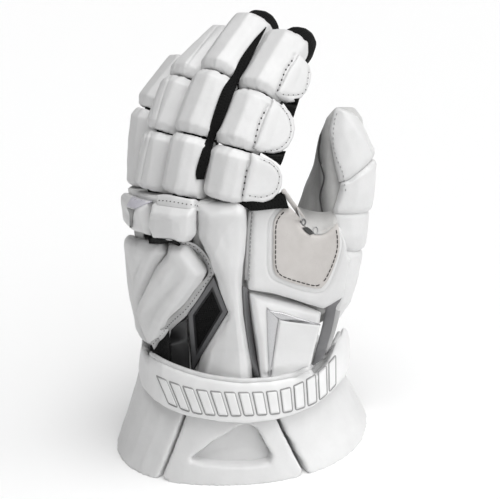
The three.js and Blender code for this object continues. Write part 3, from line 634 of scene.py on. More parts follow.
# A ridge is its reach and height. A needle hole is painted shade: it is sewn as a short dark stitch that
# starts between two others.
FACET_RIDGE = (7 * MM, 1.1 * MM)
RIM_GROOVE = (1.0 * MM, 0.5 * MM)
HINGE_GROOVE = (1.2 * MM, 0.9 * MM)
FLAP_STITCH = (2.6 * MM, 4.2 * MM, 0.34 * MM)
HINGE_HOLE = (0.9 * MM, 4.2 * MM, 0.55 * MM, 1.25)
RIM_HOLE = (0.8 * MM, 4.2 * MM, 0.34 * MM, 1.25)


def moulded(name, colour, roughness):
    """Moulded plastic with a fine spark texture."""
    made, tree, place = shader(name)
    spark = clouds(tree, place, 2200, 2)
    dark = tuple(channel * 0.9 for channel in colour)
    return finished(made, {
        "Base Color": ramp(tree, clouds(tree, place, 90, 3), [(0.3, dark), (0.7, colour)]),
        "Roughness": ramp(tree, spark, [(0.3, roughness - 0.05), (0.7, roughness + 0.1)]),
        "Normal": raised(tree, spark, 0.00003),
    })


white_thread = thread("white_thread", (0.72, 0.72, 0.72))
# Near-black colour painted as the shade inside needle holes, the eyelet's hole and the thumb's fold.
hole_shade = moulded("needle_hole", (0.05, 0.05, 0.05), 0.9)
rim_seams = []
hinge_seams = []
for name, seams in FLAP_SEAMS.items():
    node_name = f"index_{name}_flap"
    pad = finger_pads[f"index_{name}_pad"]
    flap = foam_block(f"index_{name}_wing", node_name, FLAP_CELL, FLAP_ROUNDS, FLAP_PUFF)
    hinge, _ = seen_on(seams["hinge"], flap, pad)
    rim, _ = seen_on(seams["rim"], flap)
    facet, _ = seen_on(seams["facet"], flap)
    folded(flap, facet, *FACET_RIDGE)
    channelled(flap, rim, *RIM_GROOVE)
    channelled(flap, hinge, *HINGE_GROOVE)
    channelled(pad, hinge, *HINGE_GROOVE)
    dressed(flap, white_leather, "white_leather", node_name)
    rim_seams.append(seen_on(seams["rim"], flap))
    hinge_seams.append(seen_on(seams["hinge"], flap, pad))
wing_thread = stitches("wing_stitches", rim_seams + hinge_seams, *FLAP_STITCH)
dressed(wing_thread, white_thread, "white_leather")
# The dark needle holes along the hinge and rim rows are painted shade.
dressed(stitches("wing_needle_holes", hinge_seams, *HINGE_HOLE), hole_shade, "mesh_knit")
dressed(stitches("rim_needle_holes", rim_seams, *RIM_HOLE), hole_shade, "mesh_knit")

# Gussets of the fingers
# Strips of the black mesh are let in between the fingers and under the pads' ends, where the
# glove has to stretch. They stand just behind the pads' faces, and the long one a little proud.
GUSSETS = {
    "index_side_gusset": (
        [(266, 26.8), (253.6, 40.2), (240.2, 58.9), (233, 74.1), (222.1, 90), (211.6, 120),
         (207.4, 136.9), (203.4, 146.2), (196, 170.4), (196.5, 179.5)],
        [(266.5, 27.7), (257.1, 46.4), (248.2, 64.3), (242, 74.1), (236, 88), (223.2, 120), (214.5, 140),
         (211.5, 152), (206, 170.4), (204, 179.5)],
    ),
    "upper_wing_gusset": (
        [(275, 94), (283, 103), (288, 110), (293, 117.5)],
        [(300, 97), (297.6, 105), (295.6, 111), (293.5, 117.5)],
    ),
    "lower_wing_gusset": (
        [(258, 151), (269, 157.5), (276, 162), (280, 165.5)],
        [(286, 151), (284, 157), (282.2, 162), (280.5, 165.5)],
    ),
    "knuckle_gusset": (
        [(188, 198.5), (196, 197.5), (204, 201.5), (217, 202.2), (238.6, 202.4), (245.7, 197.4),
         (252, 197), (265, 200), (276, 195), (283.4, 190)],
        [(193, 202), (201, 207), (212.7, 206.2), (225, 206), (239.5, 206), (247, 208), (251, 210.9),
         (265, 210), (279, 208.5), (289, 208.5)],
    ),
}
GUSSET_BEHIND = {"index_side_gusset": -1.0 * MM}
USUAL_BEHIND = 2.5 * MM
GUSSET_THICK = 2.5 * MM
SEARCH_PIXELS = 12
DEPTH_ROUNDS = 6


def let_in(name, surface, sides, behind, thick, across=6, crown=0.6 * MM, rows=40, over=False):
    """A strip between two marked edges, behind what it is sewn to, or over all that it crosses."""
    edges = []
    for marks in sides:
        line = curved(marks)
        along = run_of(line, 2)
        edges.append(sampled(line, along, np.linspace(0, along[-1], rows)))
    depths = []
    for edge, other in (edges, edges[::-1]):
        away = edge - other
        away /= np.maximum(np.linalg.norm(away, axis=1, keepdims=True), 0.5)
        found = []
        for mark, step in zip(edge, away):
            tries = (sight_line(*(mark + step * k)) for k in range(1, SEARCH_PIXELS))
            hits = (surface.ray_cast(camera_place, ray) for ray in tries)
            found.append(next((hit[3] for hit in hits if hit[0]), np.nan))
        depths.append(np.array(found))
    known = ~np.isnan(depths[0]) | ~np.isnan(depths[1])
    for i in (0, 1):
        depths[i] = np.where(np.isnan(depths[i]), depths[1 - i], depths[i])
        depths[i] = np.interp(np.arange(rows), np.flatnonzero(known), depths[i][known])
        for _ in range(DEPTH_ROUNDS):
            depths[i][1:-1] = (depths[i][:-2] + 2 * depths[i][1:-1] + depths[i][2:]) / 4
    front = []
    for row in range(rows):
        for t in np.linspace(0, 1, across):
            ray = sight_line(*(edges[0][row] * (1 - t) + edges[1][row] * t))
            depth = depths[0][row] * (1 - t) + depths[1][row] * t - crown * 4 * t * (1 - t)
            hit = surface.ray_cast(camera_place, ray) if over else (None,)
            front.append((ray, (min(depth, hit[3]) if hit[0] else depth) + behind))
    corners = [camera_place + ray * (depth + back) for back in (0, thick) for ray, depth in front]
    faces = []
    for row in range(rows - 1):
        for i in range(across - 1):
            a = row * across + i
            faces.append((a, a + across, a + across + 1, a + 1))
    far = rows * across
    faces += [tuple(far + i for i in face[::-1]) for face in faces]
    rim = list(range(across))
    rim += [row * across + across - 1 for row in range(1, rows)]
    rim += [(rows - 1) * across + i for i in range(across - 2, -1, -1)]
    rim += [row * across for row in range(rows - 2, 0, -1)]
    faces += [(a, b, b + far, a + far) for a, b in zip(rim, rim[1:] + rim[:1])]
    piece = new_piece(name, corners, faces)
    shape = bmesh.new()
    shape.from_mesh(piece.data)
    bmesh.ops.recalc_face_normals(shape, faces=shape.faces)
    shape.to_mesh(piece.data)
    shape.free()
    return piece


wings = [bpy.data.objects[f"index_{name}_wing"] for name in FLAP_SEAMS]
finger_front = surface_of(*finger_pads.values(), *wings)
for name, edges in GUSSETS.items():
    behind = GUSSET_BEHIND.get(name, USUAL_BEHIND)
    strip = let_in(name, finger_front, edges, behind, GUSSET_THICK + USUAL_BEHIND - behind)
    dressed(strip, black_mesh, "mesh_knit")

# Knuckle pads, spine and outer pads of the back of the hand
# Moulded foam pads under leather, with cut facets that meet in crisp ridges. The two over the
# knuckles are short blocks, and the spine runs from the index knuckle down into the wrist.
BACK_CELL = 1.0 * MM
BACK_PUFF = 0.4 * MM
BACK_PADS = {
    "knuckle_pad": {
        "name": "knuckle_block",
        "rounds": 9,
        "ridges": [[(173, 222), (172, 232), (178, 239)]],
        "slopes": [([(146, 216), (173, 220), (172, 232), (178, 241)], [(146, 216), (146, 241)], 0.1)],
    },
    "knuckle_edge_pad": {
        "name": "knuckle_edge_block",
        "rounds": 6,
        "ridges": [
            [(128, 208), (134, 213), (141, 211), (146, 205)],
            [(134, 213), (131, 228), (130, 236)],
        ],
    },
    "center_spine": {
        "name": "spine_block",
        "rounds": 22,
        "ridges": [[(201, 217), (216, 215), (232, 216)]],
        "slopes": [
            ([(232, 214), (211, 262), (204, 277)], [(196, 214), (203, 277)], 0.25),
            ([(234, 298), (242, 372)], [(234, 298), (208, 370)], 0.24),
        ],
    },
    "slanted_pad": {
        "name": "slanted_block",
        "rounds": 12,
        "ridges": [[(166, 250), (152, 280), (141, 312)], [(189, 268), (176, 296), (160, 322)]],
    },
    "outer_pad": {
        "name": "outer_block",
        "rounds": 14,
        "ridges": [[(138, 246), (134, 275), (138, 305)], [(160, 246), (148, 262), (140, 292)]],
    },
}
RIDGE = (8 * MM, 0.9 * MM)
SPINE_FOOT = 352
SPINE_STRETCH = 0.9
SPINE_RIGHT = [(210, 237.6), (274, 244.8), (290, 248.8), (365, 256)]
SPINE_RIGHT_MOVED = [(210, 8), (240, 3.5), (274, -2.4), (290, -6), (314, -7.5), (346, -6), (365, -4)]
SPINE_RIGHT_BAND = 18
SPINE_RIGHT_MOST = 1.3


def marks_of(points):
    """Where points are seen on the photograph."""
    away = points - eye
    ahead = -away @ eye_back
    across = away @ eye_right / ahead / PIXEL + PHOTO_WIDTH / 2
    down = PHOTO_HEIGHT / 2 - away @ eye_up / ahead / PIXEL
    return np.column_stack([across, down])


def shifted(piece, right, down):
    """Moves each point of a piece across the line of sight, by pixels of the photograph."""
    points = points_of(piece)
    ahead = -(points - eye) @ eye_back
    size = ahead * SENSOR_WIDTH / PHOTO_WIDTH / CAMERA_LENS
    set_points(piece, points + size[:, None] * (np.outer(right, eye_right) - np.outer(down, eye_up)))


def squeezed(piece, start, end, band):
    """Draws a piece in behind a marked line, the change spread over a band of pixels."""
    along = np.array(end, float) - start
    along /= np.linalg.norm(along)
    inward = np.array([-along[1], along[0]])
    inside = (marks_of(points_of(piece)) - start) @ inward
    least = min(inside.min(), 0.0)
    shift = np.clip(band - inside, 0, None) * -least / (band - least)
    shifted(piece, shift * inward[0], shift * inward[1])


def stretched(piece):
    """Draws the foot of a piece down, under the wrist strap."""
    below = np.clip(marks_of(points_of(piece))[:, 1] - SPINE_FOOT, 0, None)
    shifted(piece, 0, SPINE_STRETCH * below)


def pushed(piece, amount):
    """Moves each point of a piece away along the line of sight, by metres for each point."""
    points = points_of(piece)
    away = points - eye
    away /= np.linalg.norm(away, axis=1, keepdims=True)
    set_points(piece, points + away * np.asarray(amount).reshape(-1, 1))


def read_off(at, *lines):
    """What each line of marks reads at some places along its first coordinate."""
    return [np.interp(at, *np.array(line, float).T) for line in lines]


def sloped(piece, ridge, foot, rate):
    """Tilts a face back from a marked ridge to its marked foot, by metres for each pixel."""
    marks = marks_of(points_of(piece))
    ridge_x, foot_x = (np.interp(marks[:, 1], *np.array(line, float).T[::-1]) for line in (ridge, foot))
    pushed(piece, rate * np.clip(ridge_x - marks[:, 0], 0, np.clip(ridge_x - foot_x, 0, None)))


back_pads = {}
for node_name, make in BACK_PADS.items():
    pad = foam_block(make["name"], node_name, BACK_CELL, make["rounds"], BACK_PUFF)
    for marks in make["ridges"]:
        folded(pad, seen_on(marks, pad)[0], *RIDGE)
    for ridge, foot, rate in make.get("slopes", []):
        sloped(pad, ridge, foot, rate * MM)
    if node_name == "center_spine":
        stretched(pad)
        marks = marks_of(points_of(pad))
        right, moved = read_off(marks[:, 1], SPINE_RIGHT, SPINE_RIGHT_MOVED)
        share = np.clip((marks[:, 0] - right) / SPINE_RIGHT_BAND + 1, 0, SPINE_RIGHT_MOST)
        shifted(pad, moved * share, 0)
    back_pads[node_name] = dressed(pad, white_leather, "white_leather", node_name)

# Bindings of the back of the hand
# Folded leather binds the slanted pad's edge and the top of the knuckle pad, with needle holes of painted
# shade along it. The slanted binding's grey is partly its own and partly painted shade. A strip of black
# mesh fills the gap below as painted shade, and two thin facets close the knuckle edge pad.
BINDINGS = {
    "slanted_binding": (
        [(176, 243), (190, 247), (202, 258), (208, 271), (206, 277), (195, 289), (183.5, 305),
         (169.7, 317), (150, 341)],
        [(178, 240), (193, 243), (205, 253), (213.5, 268), (213, 279), (200, 299), (187.5, 314.5),
         (171, 330), (154, 350)],
    ),
    "knuckle_binding": (
        [(157, 195), (167, 194.5), (187.7, 198.6), (196, 199.5), (201, 205)],
        [(157, 205.5), (172.5, 208), (187, 210), (196, 211), (201.5, 212)],
    ),
}
BINDING_BEHIND = {"slanted_binding": 1.0 * MM, "knuckle_binding": 1.2 * MM}
BINDING_THICK = 3 * MM
BINDING_HOLE = (0.8 * MM, 3.2 * MM, 0.34 * MM)
KNUCKLE_GAP = (
    [(148, 238), (160, 238.6), (172, 239.6), (184, 245)],
    [(149, 243.4), (160, 244), (172, 243.4), (181, 248)],
)
GAP_BEHIND = 0.3 * MM
EDGE_FACETS = {
    "knuckle_edge_top": (
        [(132.3, 195.8), (129, 201), (126.1, 206.3)],
        [(158, 199.6), (146.5, 204), (135, 209)],
    ),
    "knuckle_edge_side": (
        [(126.3, 207.2), (129.4, 215), (129.6, 227.5)],
        [(134.5, 209.8), (133, 216.1), (131.8, 227.7)],
    ),
}
FACET_PROUD = 0.3 * MM
SKIN_THICK = 2 * MM
grey_leather = leather("grey_leather", (0.36, 0.36, 0.36), (0.46, 0.46, 0.46), 0.5)
lilac_leather = leather("lilac_leather", (0.5, 0.49, 0.55), (0.66, 0.65, 0.7), 0.3)
shadow_leather = leather("shadow_leather", (0.2, 0.2, 0.2), (0.28, 0.28, 0.28), 0.5)
back_front = surface_of(*back_pads.values())
binding_seams = []
for name, edges in BINDINGS.items():
    strip = let_in(name, back_front, edges, BINDING_BEHIND[name], BINDING_THICK)
    # The slanted binding's grey leather is partly its own colour and partly painted shade.
    dressed(strip, grey_leather if name == "slanted_binding" else white_leather, "white_leather")
    middle_line = [((a + c) / 2, (b + d) / 2) for (a, b), (c, d) in zip(*edges)]
    binding_seams.append(seen_on(middle_line, strip))
dressed(stitches("binding_needle_holes", binding_seams, *BINDING_HOLE), hole_shade, "mesh_knit")
# A dark strip of black mesh painted into the gap under the knuckle pad as its shade.
gap = let_in("knuckle_gap", back_front, KNUCKLE_GAP, GAP_BEHIND, BINDING_THICK)
dressed(gap, black_mesh, "mesh_knit")
for name, edges in EDGE_FACETS.items():
    facet = let_in(name, back_front, edges, -FACET_PROUD, SKIN_THICK, 8, crown=0, rows=16, over=True)
    dressed(facet, lilac_leather if name == "knuckle_edge_top" else shadow_leather, "white_leather")

# Air vent
# A diamond frame of dark moulded plastic steps down to a black mesh floor, beside a plastic rib
# in a black recess. The spine is cut back round the frame.
VENT_OUTLINE = [(213.6, 277.5), (227.6, 311.8), (192.6, 370), (188.2, 314)]
VENT_FRAME = [(0.0, 12), (0.0, 0.4), (0.5, 0.0), (4.2, 0.0), (4.7, 0.6)]
VENT_SLOPE = [(4.5, 0.3), (5.2, 1.2), (7.0, 4.4)]
VENT_FLOOR = [(6.6, 3.4), (7.2, 4.4), (10.5, 4.8)]
VENT_RIM = [(-1.0, 12), (-1.0, 1.2), (0.2, 1.2), (0.4, 6)]
VENT_SIDE_STEPS = 16
VENT_CUT = 11 * MM
VENT_CUT_EDGE = 1.2
VENT_CLEARANCE = 0.8
VENT_BELOW_SPINE = 1.2 * MM
VENT_BEVEL = 0.25 * MM
RIB_BEHIND = 2.5 * MM
RIB_THICK = 4 * MM
RIB_CROWN = 1.2 * MM
RECESS_BEHIND = 4.5 * MM
RIB_EDGES = ([(168.8, 329), (169.4, 346), (170.6, 364)], [(186.5, 318.5), (188.3, 342), (190, 370)])
RECESS_EDGES = ([(150, 346), (158, 339), (168.8, 328)], [(151, 351), (160, 358), (171, 365)])


def inside_by(marks, outline):
    """How many pixels each mark lies inside an outline that bulges everywhere."""
    corners = np.array(outline, float)
    after = np.roll(corners, -1, axis=0)
    edge = (after - corners) / np.linalg.norm(after - corners, axis=1, keepdims=True)
    inward = np.column_stack([-edge[:, 1], edge[:, 0]])
    return np.min(np.sum((marks[:, None] - corners) * inward, axis=2), axis=1)


def drawn_in(outline, pixels):
    """The outline moved in by some pixels on every side."""
    corners = np.array(outline, float)
    moved = []
    for before, corner, after in zip(np.roll(corners, 1, axis=0), corners, np.roll(corners, -1, axis=0)):
        a = (corner - before) / np.linalg.norm(corner - before)
        b = (after - corner) / np.linalg.norm(after - corner)
        normal = np.array([-a[1] - b[1], a[0] + b[0]])
        moved.append(corner + normal * pixels / (normal @ normal / 2))
    return np.array(moved)


def plane_depths(surface, outline):
    """A flat plane through what lies just outside the corners of an outline."""
    centre = np.mean(outline, axis=0)
    rows, seen = [], []
    for corner in np.array(outline, float):
        away = (corner - centre) / np.linalg.norm(corner - centre)
        mark = corner + 5 * away
        hit = surface.ray_cast(camera_place, sight_line(*mark))
        if hit[0]:
            rows.append([mark[0], mark[1], 1])
            seen.append(hit[3])
    return np.linalg.lstsq(np.array(rows), np.array(seen), rcond=None)[0]


spine = back_pads["center_spine"]
slanted_binding = bpy.data.objects["slanted_binding"]
vent_plane = plane_depths(surface_of(spine, slanted_binding, hand), VENT_OUTLINE)
for piece in (spine, back_pads["slanted_pad"], slanted_binding, hand):
    points = points_of(piece)
    marks = marks_of(points)
    depth = np.linalg.norm(points - eye, axis=1)
    near = depth < np.column_stack([marks, np.ones(len(marks))]) @ vent_plane + VENT_CUT
    carved = np.clip(inside_by(marks, drawn_in(VENT_OUTLINE, -VENT_CLEARANCE)) / VENT_CUT_EDGE, 0, 1)
    pushed(piece, VENT_CUT * carved * near)
vent_plane[2] += VENT_BELOW_SPINE


def stepped(name, steps, floor=False):
    """Rings of the vent's outline, each drawn in by pixels and set back by millimetres."""
    corners, faces = [], []
    for inset, back in steps:
        ring = drawn_in(VENT_OUTLINE, inset)
        for mark, following in zip(ring, np.roll(ring, -1, axis=0)):
            for t in np.linspace(0, 1, VENT_SIDE_STEPS, endpoint=False):
                x, y = mark * (1 - t) + following * t
                depth = vent_plane @ (x, y, 1) + back * MM
                corners.append(camera_place + sight_line(x, y) * depth)
    around = len(VENT_OUTLINE) * VENT_SIDE_STEPS
    for row in range(len(steps) - 1):
        for i in range(around):
            a = row * around + i
            b = row * around + (i + 1) % around
            faces.append((a, b, b + around, a + around))
    if floor:
        faces.append(tuple(range((len(steps) - 1) * around, len(steps) * around)))
    return new_piece(name, corners, faces)


dark_trim = moulded("dark_trim", (0.11, 0.11, 0.115), 0.4)
deep_trim = moulded("deep_trim", (0.035, 0.035, 0.036), 0.45)
black_trim = moulded("black_trim", (0.012, 0.012, 0.012), 0.5)
vent = stepped("vent_frame", VENT_FRAME)
settled(vent, ("BEVEL", {"width": VENT_BEVEL, "segments": 2, "limit_method": "ANGLE"}))
dressed(vent, dark_trim, "grey_trim", "diamond_vent")
dressed(stepped("vent_slope", VENT_SLOPE), deep_trim, "grey_trim")
dressed(stepped("vent_floor", VENT_FLOOR, floor=True), black_mesh, "mesh_knit", "vent_core")
dressed(stepped("vent_rim", VENT_RIM), black_trim, "grey_trim")
vent_side = surface_of(vent, slanted_binding)
rib = let_in("vent_bar", vent_side, RIB_EDGES, RIB_BEHIND, RIB_THICK, 10, RIB_CROWN)
dressed(rib, deep_trim, "grey_trim", "vent_rib")
recess = let_in("vent_recess", vent_side, RECESS_EDGES, RECESS_BEHIND, BINDING_THICK)
dressed(recess, black_mesh, "mesh_knit")

# Web between the hand and the thumb
# A foam panel under leather carries a patch of warm grey suede, sewn on with dark thread in a
# pressed frame. A leather lace crosses to it, and a cord and a seam run down beside the spine.
WEB_CELL = 0.95 * MM
WEB_ROUNDS = 9
WEB_PUFF = 0.3 * MM
PATCH_PROUD = 0.9 * MM
PATCH_EDGES = (
    [(285, 207), (276.5, 216), (273.4, 225), (273, 245), (273, 266), (277, 276), (287.5, 281.4),
     (304.2, 286.3), (318, 288.7)],
    [(288.5, 206), (297, 214.5), (303, 222.5), (308.5, 230.5), (315.3, 234.6), (325, 232.4),
     (336.8, 223.5), (339.6, 236), (339.3, 250.3), (334.7, 265), (328.2, 279.9), (321.5, 288)],
)
PATCH_SEAMS = [
    [(286, 210), (279, 217.5), (276, 226), (275.6, 245), (275.8, 265), (279.5, 274), (288.5, 278.6),
     (304.5, 283.4), (316, 285.8), (321.5, 283.5)],
    [(335.6, 227), (337.2, 237), (336.9, 250), (332.4, 264.5), (325.8, 278.5), (321.5, 283.5)],
]
FRAME_LINE = [(278, 208), (270, 219), (267.8, 228), (267.5, 247), (267.6, 267), (272, 278.5), (285, 285),
 (303, 291.3), (319, 293), (327, 289), (334, 275), (341.5, 252), (342.5, 236), (340.5, 221)]
FRAME_GROOVE = (1.0 * MM, 0.9 * MM)
PATCH_STITCH = (3.2 * MM, 3.6 * MM, 0.42 * MM)
WEB_CORNER = ((333, 219), (345, 234))
WEB_CORNER_BAND = 7
LACE = [(281.5, 188), (288, 199), (296, 211), (303.5, 222.5)]
LACE_RADIUS = 1.7 * MM
LACE_SUNK = 0.4 * MM
CORD_LINE = [(249.3, 209), (247.3, 240), (245.8, 278)]
CORD_RADIUS = 1.7 * MM
CORD_PROUD = 0.8 * MM
SPINE_SEAM = [(252.6, 210), (250.6, 240), (249.2, 281)]
SPINE_STITCH = (2.0 * MM, 3.0 * MM, 0.45 * MM)
web = foam_block("web_block", "web_pad", WEB_CELL, WEB_ROUNDS, WEB_PUFF)
channelled(web, seen_on(FRAME_LINE, web)[0], *FRAME_GROOVE)
dressed(web, white_leather, "white_leather", "web_pad")
warm_suede = suede("warm_suede", (0.52, 0.495, 0.475), (0.6, 0.575, 0.555))
patch = let_in(
    "suede_patch", surface_of(web), PATCH_EDGES, -PATCH_PROUD, SKIN_THICK, 24, crown=0, rows=70, over=True
)
dressed(patch, warm_suede, "suede", "web_patch")
squeezed(web, *WEB_CORNER, WEB_CORNER_BAND)
dark_thread = thread("dark_thread", (0.06, 0.055, 0.05))
patch_seams = [seen_on(marks, patch, web) for marks in PATCH_SEAMS]
dressed(stitches("patch_stitches", patch_seams, *PATCH_STITCH), dark_thread, "suede")
lace_under = (bpy.data.objects["index_base_wing"], web, patch, bpy.data.objects["knuckle_gusset"])
lace = piping("web_lace", seen_on(LACE, *lace_under), LACE_RADIUS, LACE_SUNK)
dressed(lace, warm_suede, "suede")
cord = piping("spine_cord", seen_on(CORD_LINE, web, hand), CORD_RADIUS, -CORD_PROUD)
dressed(cord, white_leather, "white_leather")
seam = stitches("spine_stitches", [seen_on(SPINE_SEAM, web, hand)], *SPINE_STITCH)
dressed(seam, grey_thread, "white_leather")

# Gauntlet panel over the thumb side of the wrist
# A foam panel in brighter leather, with a sewn face framed by a V of bright film on plastic.
# Channels of dark moulded plastic run down both its sides.
PANEL_CELL = 0.9 * MM
PANEL_PUFF = 0.2 * MM
FACE_PROUD = 0.5 * MM
FACE_CROWN = 0.4 * MM
CHEVRON_PROUD = 0.6 * MM
CHEVRON_CROWN = 1.1 * MM
CHANNEL_THICK = 3 * MM
CHEVRON = {
    "chevron_top": (
        [(267, 307.3), (272.7, 310.8), (283, 312.5), (299.5, 318), (320.5, 324.3)],
        [(272, 315), (276, 317.5), (284, 320.6), (300, 323.4), (320.3, 325.6)],
    ),
    "chevron_leg": (
        [(266.8, 307.5), (267.6, 334), (269.2, 377)],
        [(279, 319.5), (276.3, 336), (270.6, 377)],
    ),
}
FACE_EDGES = (
    [(279.6, 320.6), (276.8, 336), (273.6, 356), (271.2, 377)],
    [(320, 325.8), (317, 338), (313.6, 352), (309, 372)],
)
CHANNELS = {
    "spine_channel": (
        [(242.3, 286), (244.2, 314.6), (248.5, 346.5), (254.2, 377)],
        [(248, 288), (250.4, 314.6), (254.8, 346.5), (259.6, 377)],
    ),
    "dark_channel": (
        [(328, 300), (325, 313), (320.3, 333), (311, 367)],
        [(342.5, 295.5), (336, 312), (331, 333), (323, 359)],
    ),
    "channel_step": ([(334.5, 309), (331, 328), (325.5, 353)], [(341.5, 304), (338, 322), (331, 346)]),
}
CHANNEL_BEHIND = {"spine_channel": 1.0 * MM, "dark_channel": 1.5 * MM, "channel_step": 0.6 * MM}
bright_leather = leather("bright_leather", (0.75, 0.75, 0.75), (0.81, 0.81, 0.81), 0.42)
panel = foam_block("gauntlet_block", "gauntlet_panel", PANEL_CELL, 6, PANEL_PUFF)
stretched(panel)
dressed(panel, bright_leather, "white_leather", "gauntlet_panel")
panel_front = surface_of(panel)
face = let_in("gauntlet_face", panel_front, FACE_EDGES, -FACE_PROUD, SKIN_THICK, 16, FACE_CROWN)
dressed(face, bright_leather, "white_leather", "gauntlet_inlay")


def bright_film(name, colour, roughness):
    """Metallised film over plastic, with hairline brushing."""
    made, tree, place = shader(name)
    drawn = node(tree, "Mapping", {"Vector": place, "Scale": (90, 90, 700)}).outputs["Vector"]
    line = clouds(tree, drawn, 1, 3)
    shade = tuple(channel * 0.97 for channel in colour)
    return finished(made, {
        "Base Color": ramp(tree, line, [(0.3, shade), (0.7, colour)]),
        "Roughness": ramp(tree, line, [(0.3, roughness), (0.7, roughness + 0.02)]),
        "Metallic": 0.85,
    })


silver_film = bright_film("silver_film", (0.55, 0.55, 0.56), 0.2)
for name, edges in CHEVRON.items():
    bar = let_in(name, panel_front, edges, -CHEVRON_PROUD, SKIN_THICK, 9, CHEVRON_CROWN)
    dressed(bar, silver_film, "silver_trim", *["chevron_trim"] * (name == "chevron_top"))
grey_trim = moulded("grey_trim", (0.17, 0.17, 0.175), 0.45)
light_trim = moulded("light_trim", (0.42, 0.42, 0.42), 0.45)
carriers = [panel, spine, web]
for name, edges in CHANNELS.items():
    strip = let_in(name, surface_of(*carriers), edges, CHANNEL_BEHIND[name], CHANNEL_THICK)
    carriers.append(strip)
    trim = light_trim if name == "channel_step" else grey_trim
    dressed(strip, trim, "grey_trim", *["side_channel"] * (name == "dark_channel"))

# Thumb
# A suede inner side with a deep fold, and four foam pads in white leather round the back. At
# the web, a suede heel carries an eyelet and the ring that the lace ends in.
THUMB_CELL = 0.9 * MM
THUMB_PUFF = 0.3 * MM
THUMB_UNEVEN = 0.5 * MM
THUMB_PAD_PUFF = 0.5 * MM
THUMB_FOLD = [(320.6, 134), (318.6, 154), (322.5, 170), (324, 180), (320, 196), (322.6, 213)]
THUMB_EDGE_SEAM = [(338, 111), (334.5, 122), (333.5, 144), (337.5, 160), (342.5, 172), (346, 192)]
THUMB_SIDE_SEAM = [(354, 112), (362, 126), (368, 143), (375, 160)]
THUMB_CREASE = [(349, 182), (358, 175), (367, 169.5), (376, 163)]
THUMB_CLOSING = 1.6 * MM
THUMB_TIP_SIDES = [((349, 105), (361, 119)), ((357.5, 113), (376, 152))]
THUMB_SIDE_BAND = 11
HEEL_EDGES = (
    [(296, 206), (308, 210), (322, 212), (341, 210)],
    [(301, 222.6), (309, 230), (316, 234.6), (326, 232.8), (338.8, 222)],
)
# The reach and stops of the painted shade across the thumb's fold and down the heel.
SHADE_REACH = 26 * MM
FOLD_STOPS = [(0.1, 0.62), (0.3, 0.4), (0.48, 0.24), (0.62, 0.5), (0.85, 1.0)]
HEEL_STOPS = [(0.35, 0.55), (0.6, 0.8), (0.85, 1.0)]
EYELET_HOLE = ([(302.5, 227.5), (305.5, 231.5), (310, 235)], [(307.5, 227), (311, 229.5), (314, 233.5)])
EYELET_RINGS = {"eyelet_ring": (315.6, 230.8, 2.5, 4.0), "lace_ring": (303.2, 222.4, 2.2, 3.4)}
HEEL_PROUD = 0.5 * MM
HEEL_CROWN = 0.8 * MM
HOLE_PROUD = 0.4 * MM
HOLE_THICK = 1 * MM
RING_PROUD = 0.3 * MM
RING_RADIUS = 0.5 * MM
RING_STEP = 0.4 * MM
RING_POINTS = 25
THUMB_SEAMS_MOVED = [
    ([(338, 10), (349, 8), (374, -8)], [(338, 171), (374, 166)], 15),
    ([(340, -1), (373, -5)], [(340, 217), (373, 216)], 12),
    ([(340, -8), (365, -8)], [(340, 258), (365, 258)], 14),
]
FOLD_GROOVE = (1.6 * MM, 1.3 * MM)
FOLD_RADIUS = 0.55 * MM
FOLD_SUNK = 0.5 * MM
THUMB_GROOVE = (0.9 * MM, 0.7 * MM)
THUMB_STITCH = (1.4 * MM, 3.4 * MM, 0.4 * MM)
thumb_suede = suede("thumb_suede", (0.46, 0.46, 0.455), (0.6, 0.6, 0.59))
thumb = remeshed("thumb_inner", "thumb_sleeve", THUMB_CELL, 10, 0.45)
pressed(thumb, THUMB_PUFF + THUMB_UNEVEN * ripple(points_of(thumb), 80, 5))
channelled(thumb, seen_on(THUMB_FOLD, thumb)[0], *FOLD_GROOVE)
dressed(thumb, thumb_suede, "suede", "thumb_sleeve")
fold = seen_on(THUMB_FOLD, thumb)
# A thin near-black cord laid in the fold is painted shade.
dressed(piping("thumb_fold", fold, FOLD_RADIUS, FOLD_SUNK), hole_shade, "suede")


def shaded(material, middle, across, stops):
    """Paints shade into a material's colour by where it lies along a direction, on both sides of a middle."""
    tree = material.node_tree
    place = node(tree, "TexCoord", {}).outputs["Object"]
    lying = node(tree, "VectorMath", {0: place, 1: tuple(across)}, operation="DOT_PRODUCT").outputs["Value"]
    start = float(np.dot(middle, across)) - SHADE_REACH / 2
    spread = {"Value": lying, "From Min": start, "From Max": start + SHADE_REACH}
    factor = node(tree, "MapRange", spread).outputs["Result"]
    colour = tree.nodes["Principled BSDF"].inputs["Base Color"].links[0].from_socket
    finished(material, {"Base Color": multiplied(tree, colour, ramp(tree, factor, stops))})


fold_run = fold[0][-1] - fold[0][0]
fold_run /= np.linalg.norm(fold_run)
fold_across = np.cross(fold[1].mean(axis=0), fold_run)
fold_across *= np.sign(fold_across[0]) / np.linalg.norm(fold_across)
# Painted shade: the thumb suede is darkest at the fold and lighter to either side.
shaded(thumb_suede, fold[0].mean(axis=0), fold_across, FOLD_STOPS)
heel_suede = suede("heel_suede", (0.46, 0.455, 0.445), (0.56, 0.555, 0.545))
heel_over = surface_of(thumb, patch, web)
heel = let_in("thumb_heel", heel_over, HEEL_EDGES, -HEEL_PROUD, SKIN_THICK, 12, HEEL_CROWN, 30, over=True)
dressed(heel, heel_suede, "suede")
# Painted shade: the heel suede is darker at its top, under the thumb, and lighter towards its foot.
shaded(heel_suede, fold[0][-1], fold_run, HEEL_STOPS)
eyelet_under = surface_of(heel, patch, lace)
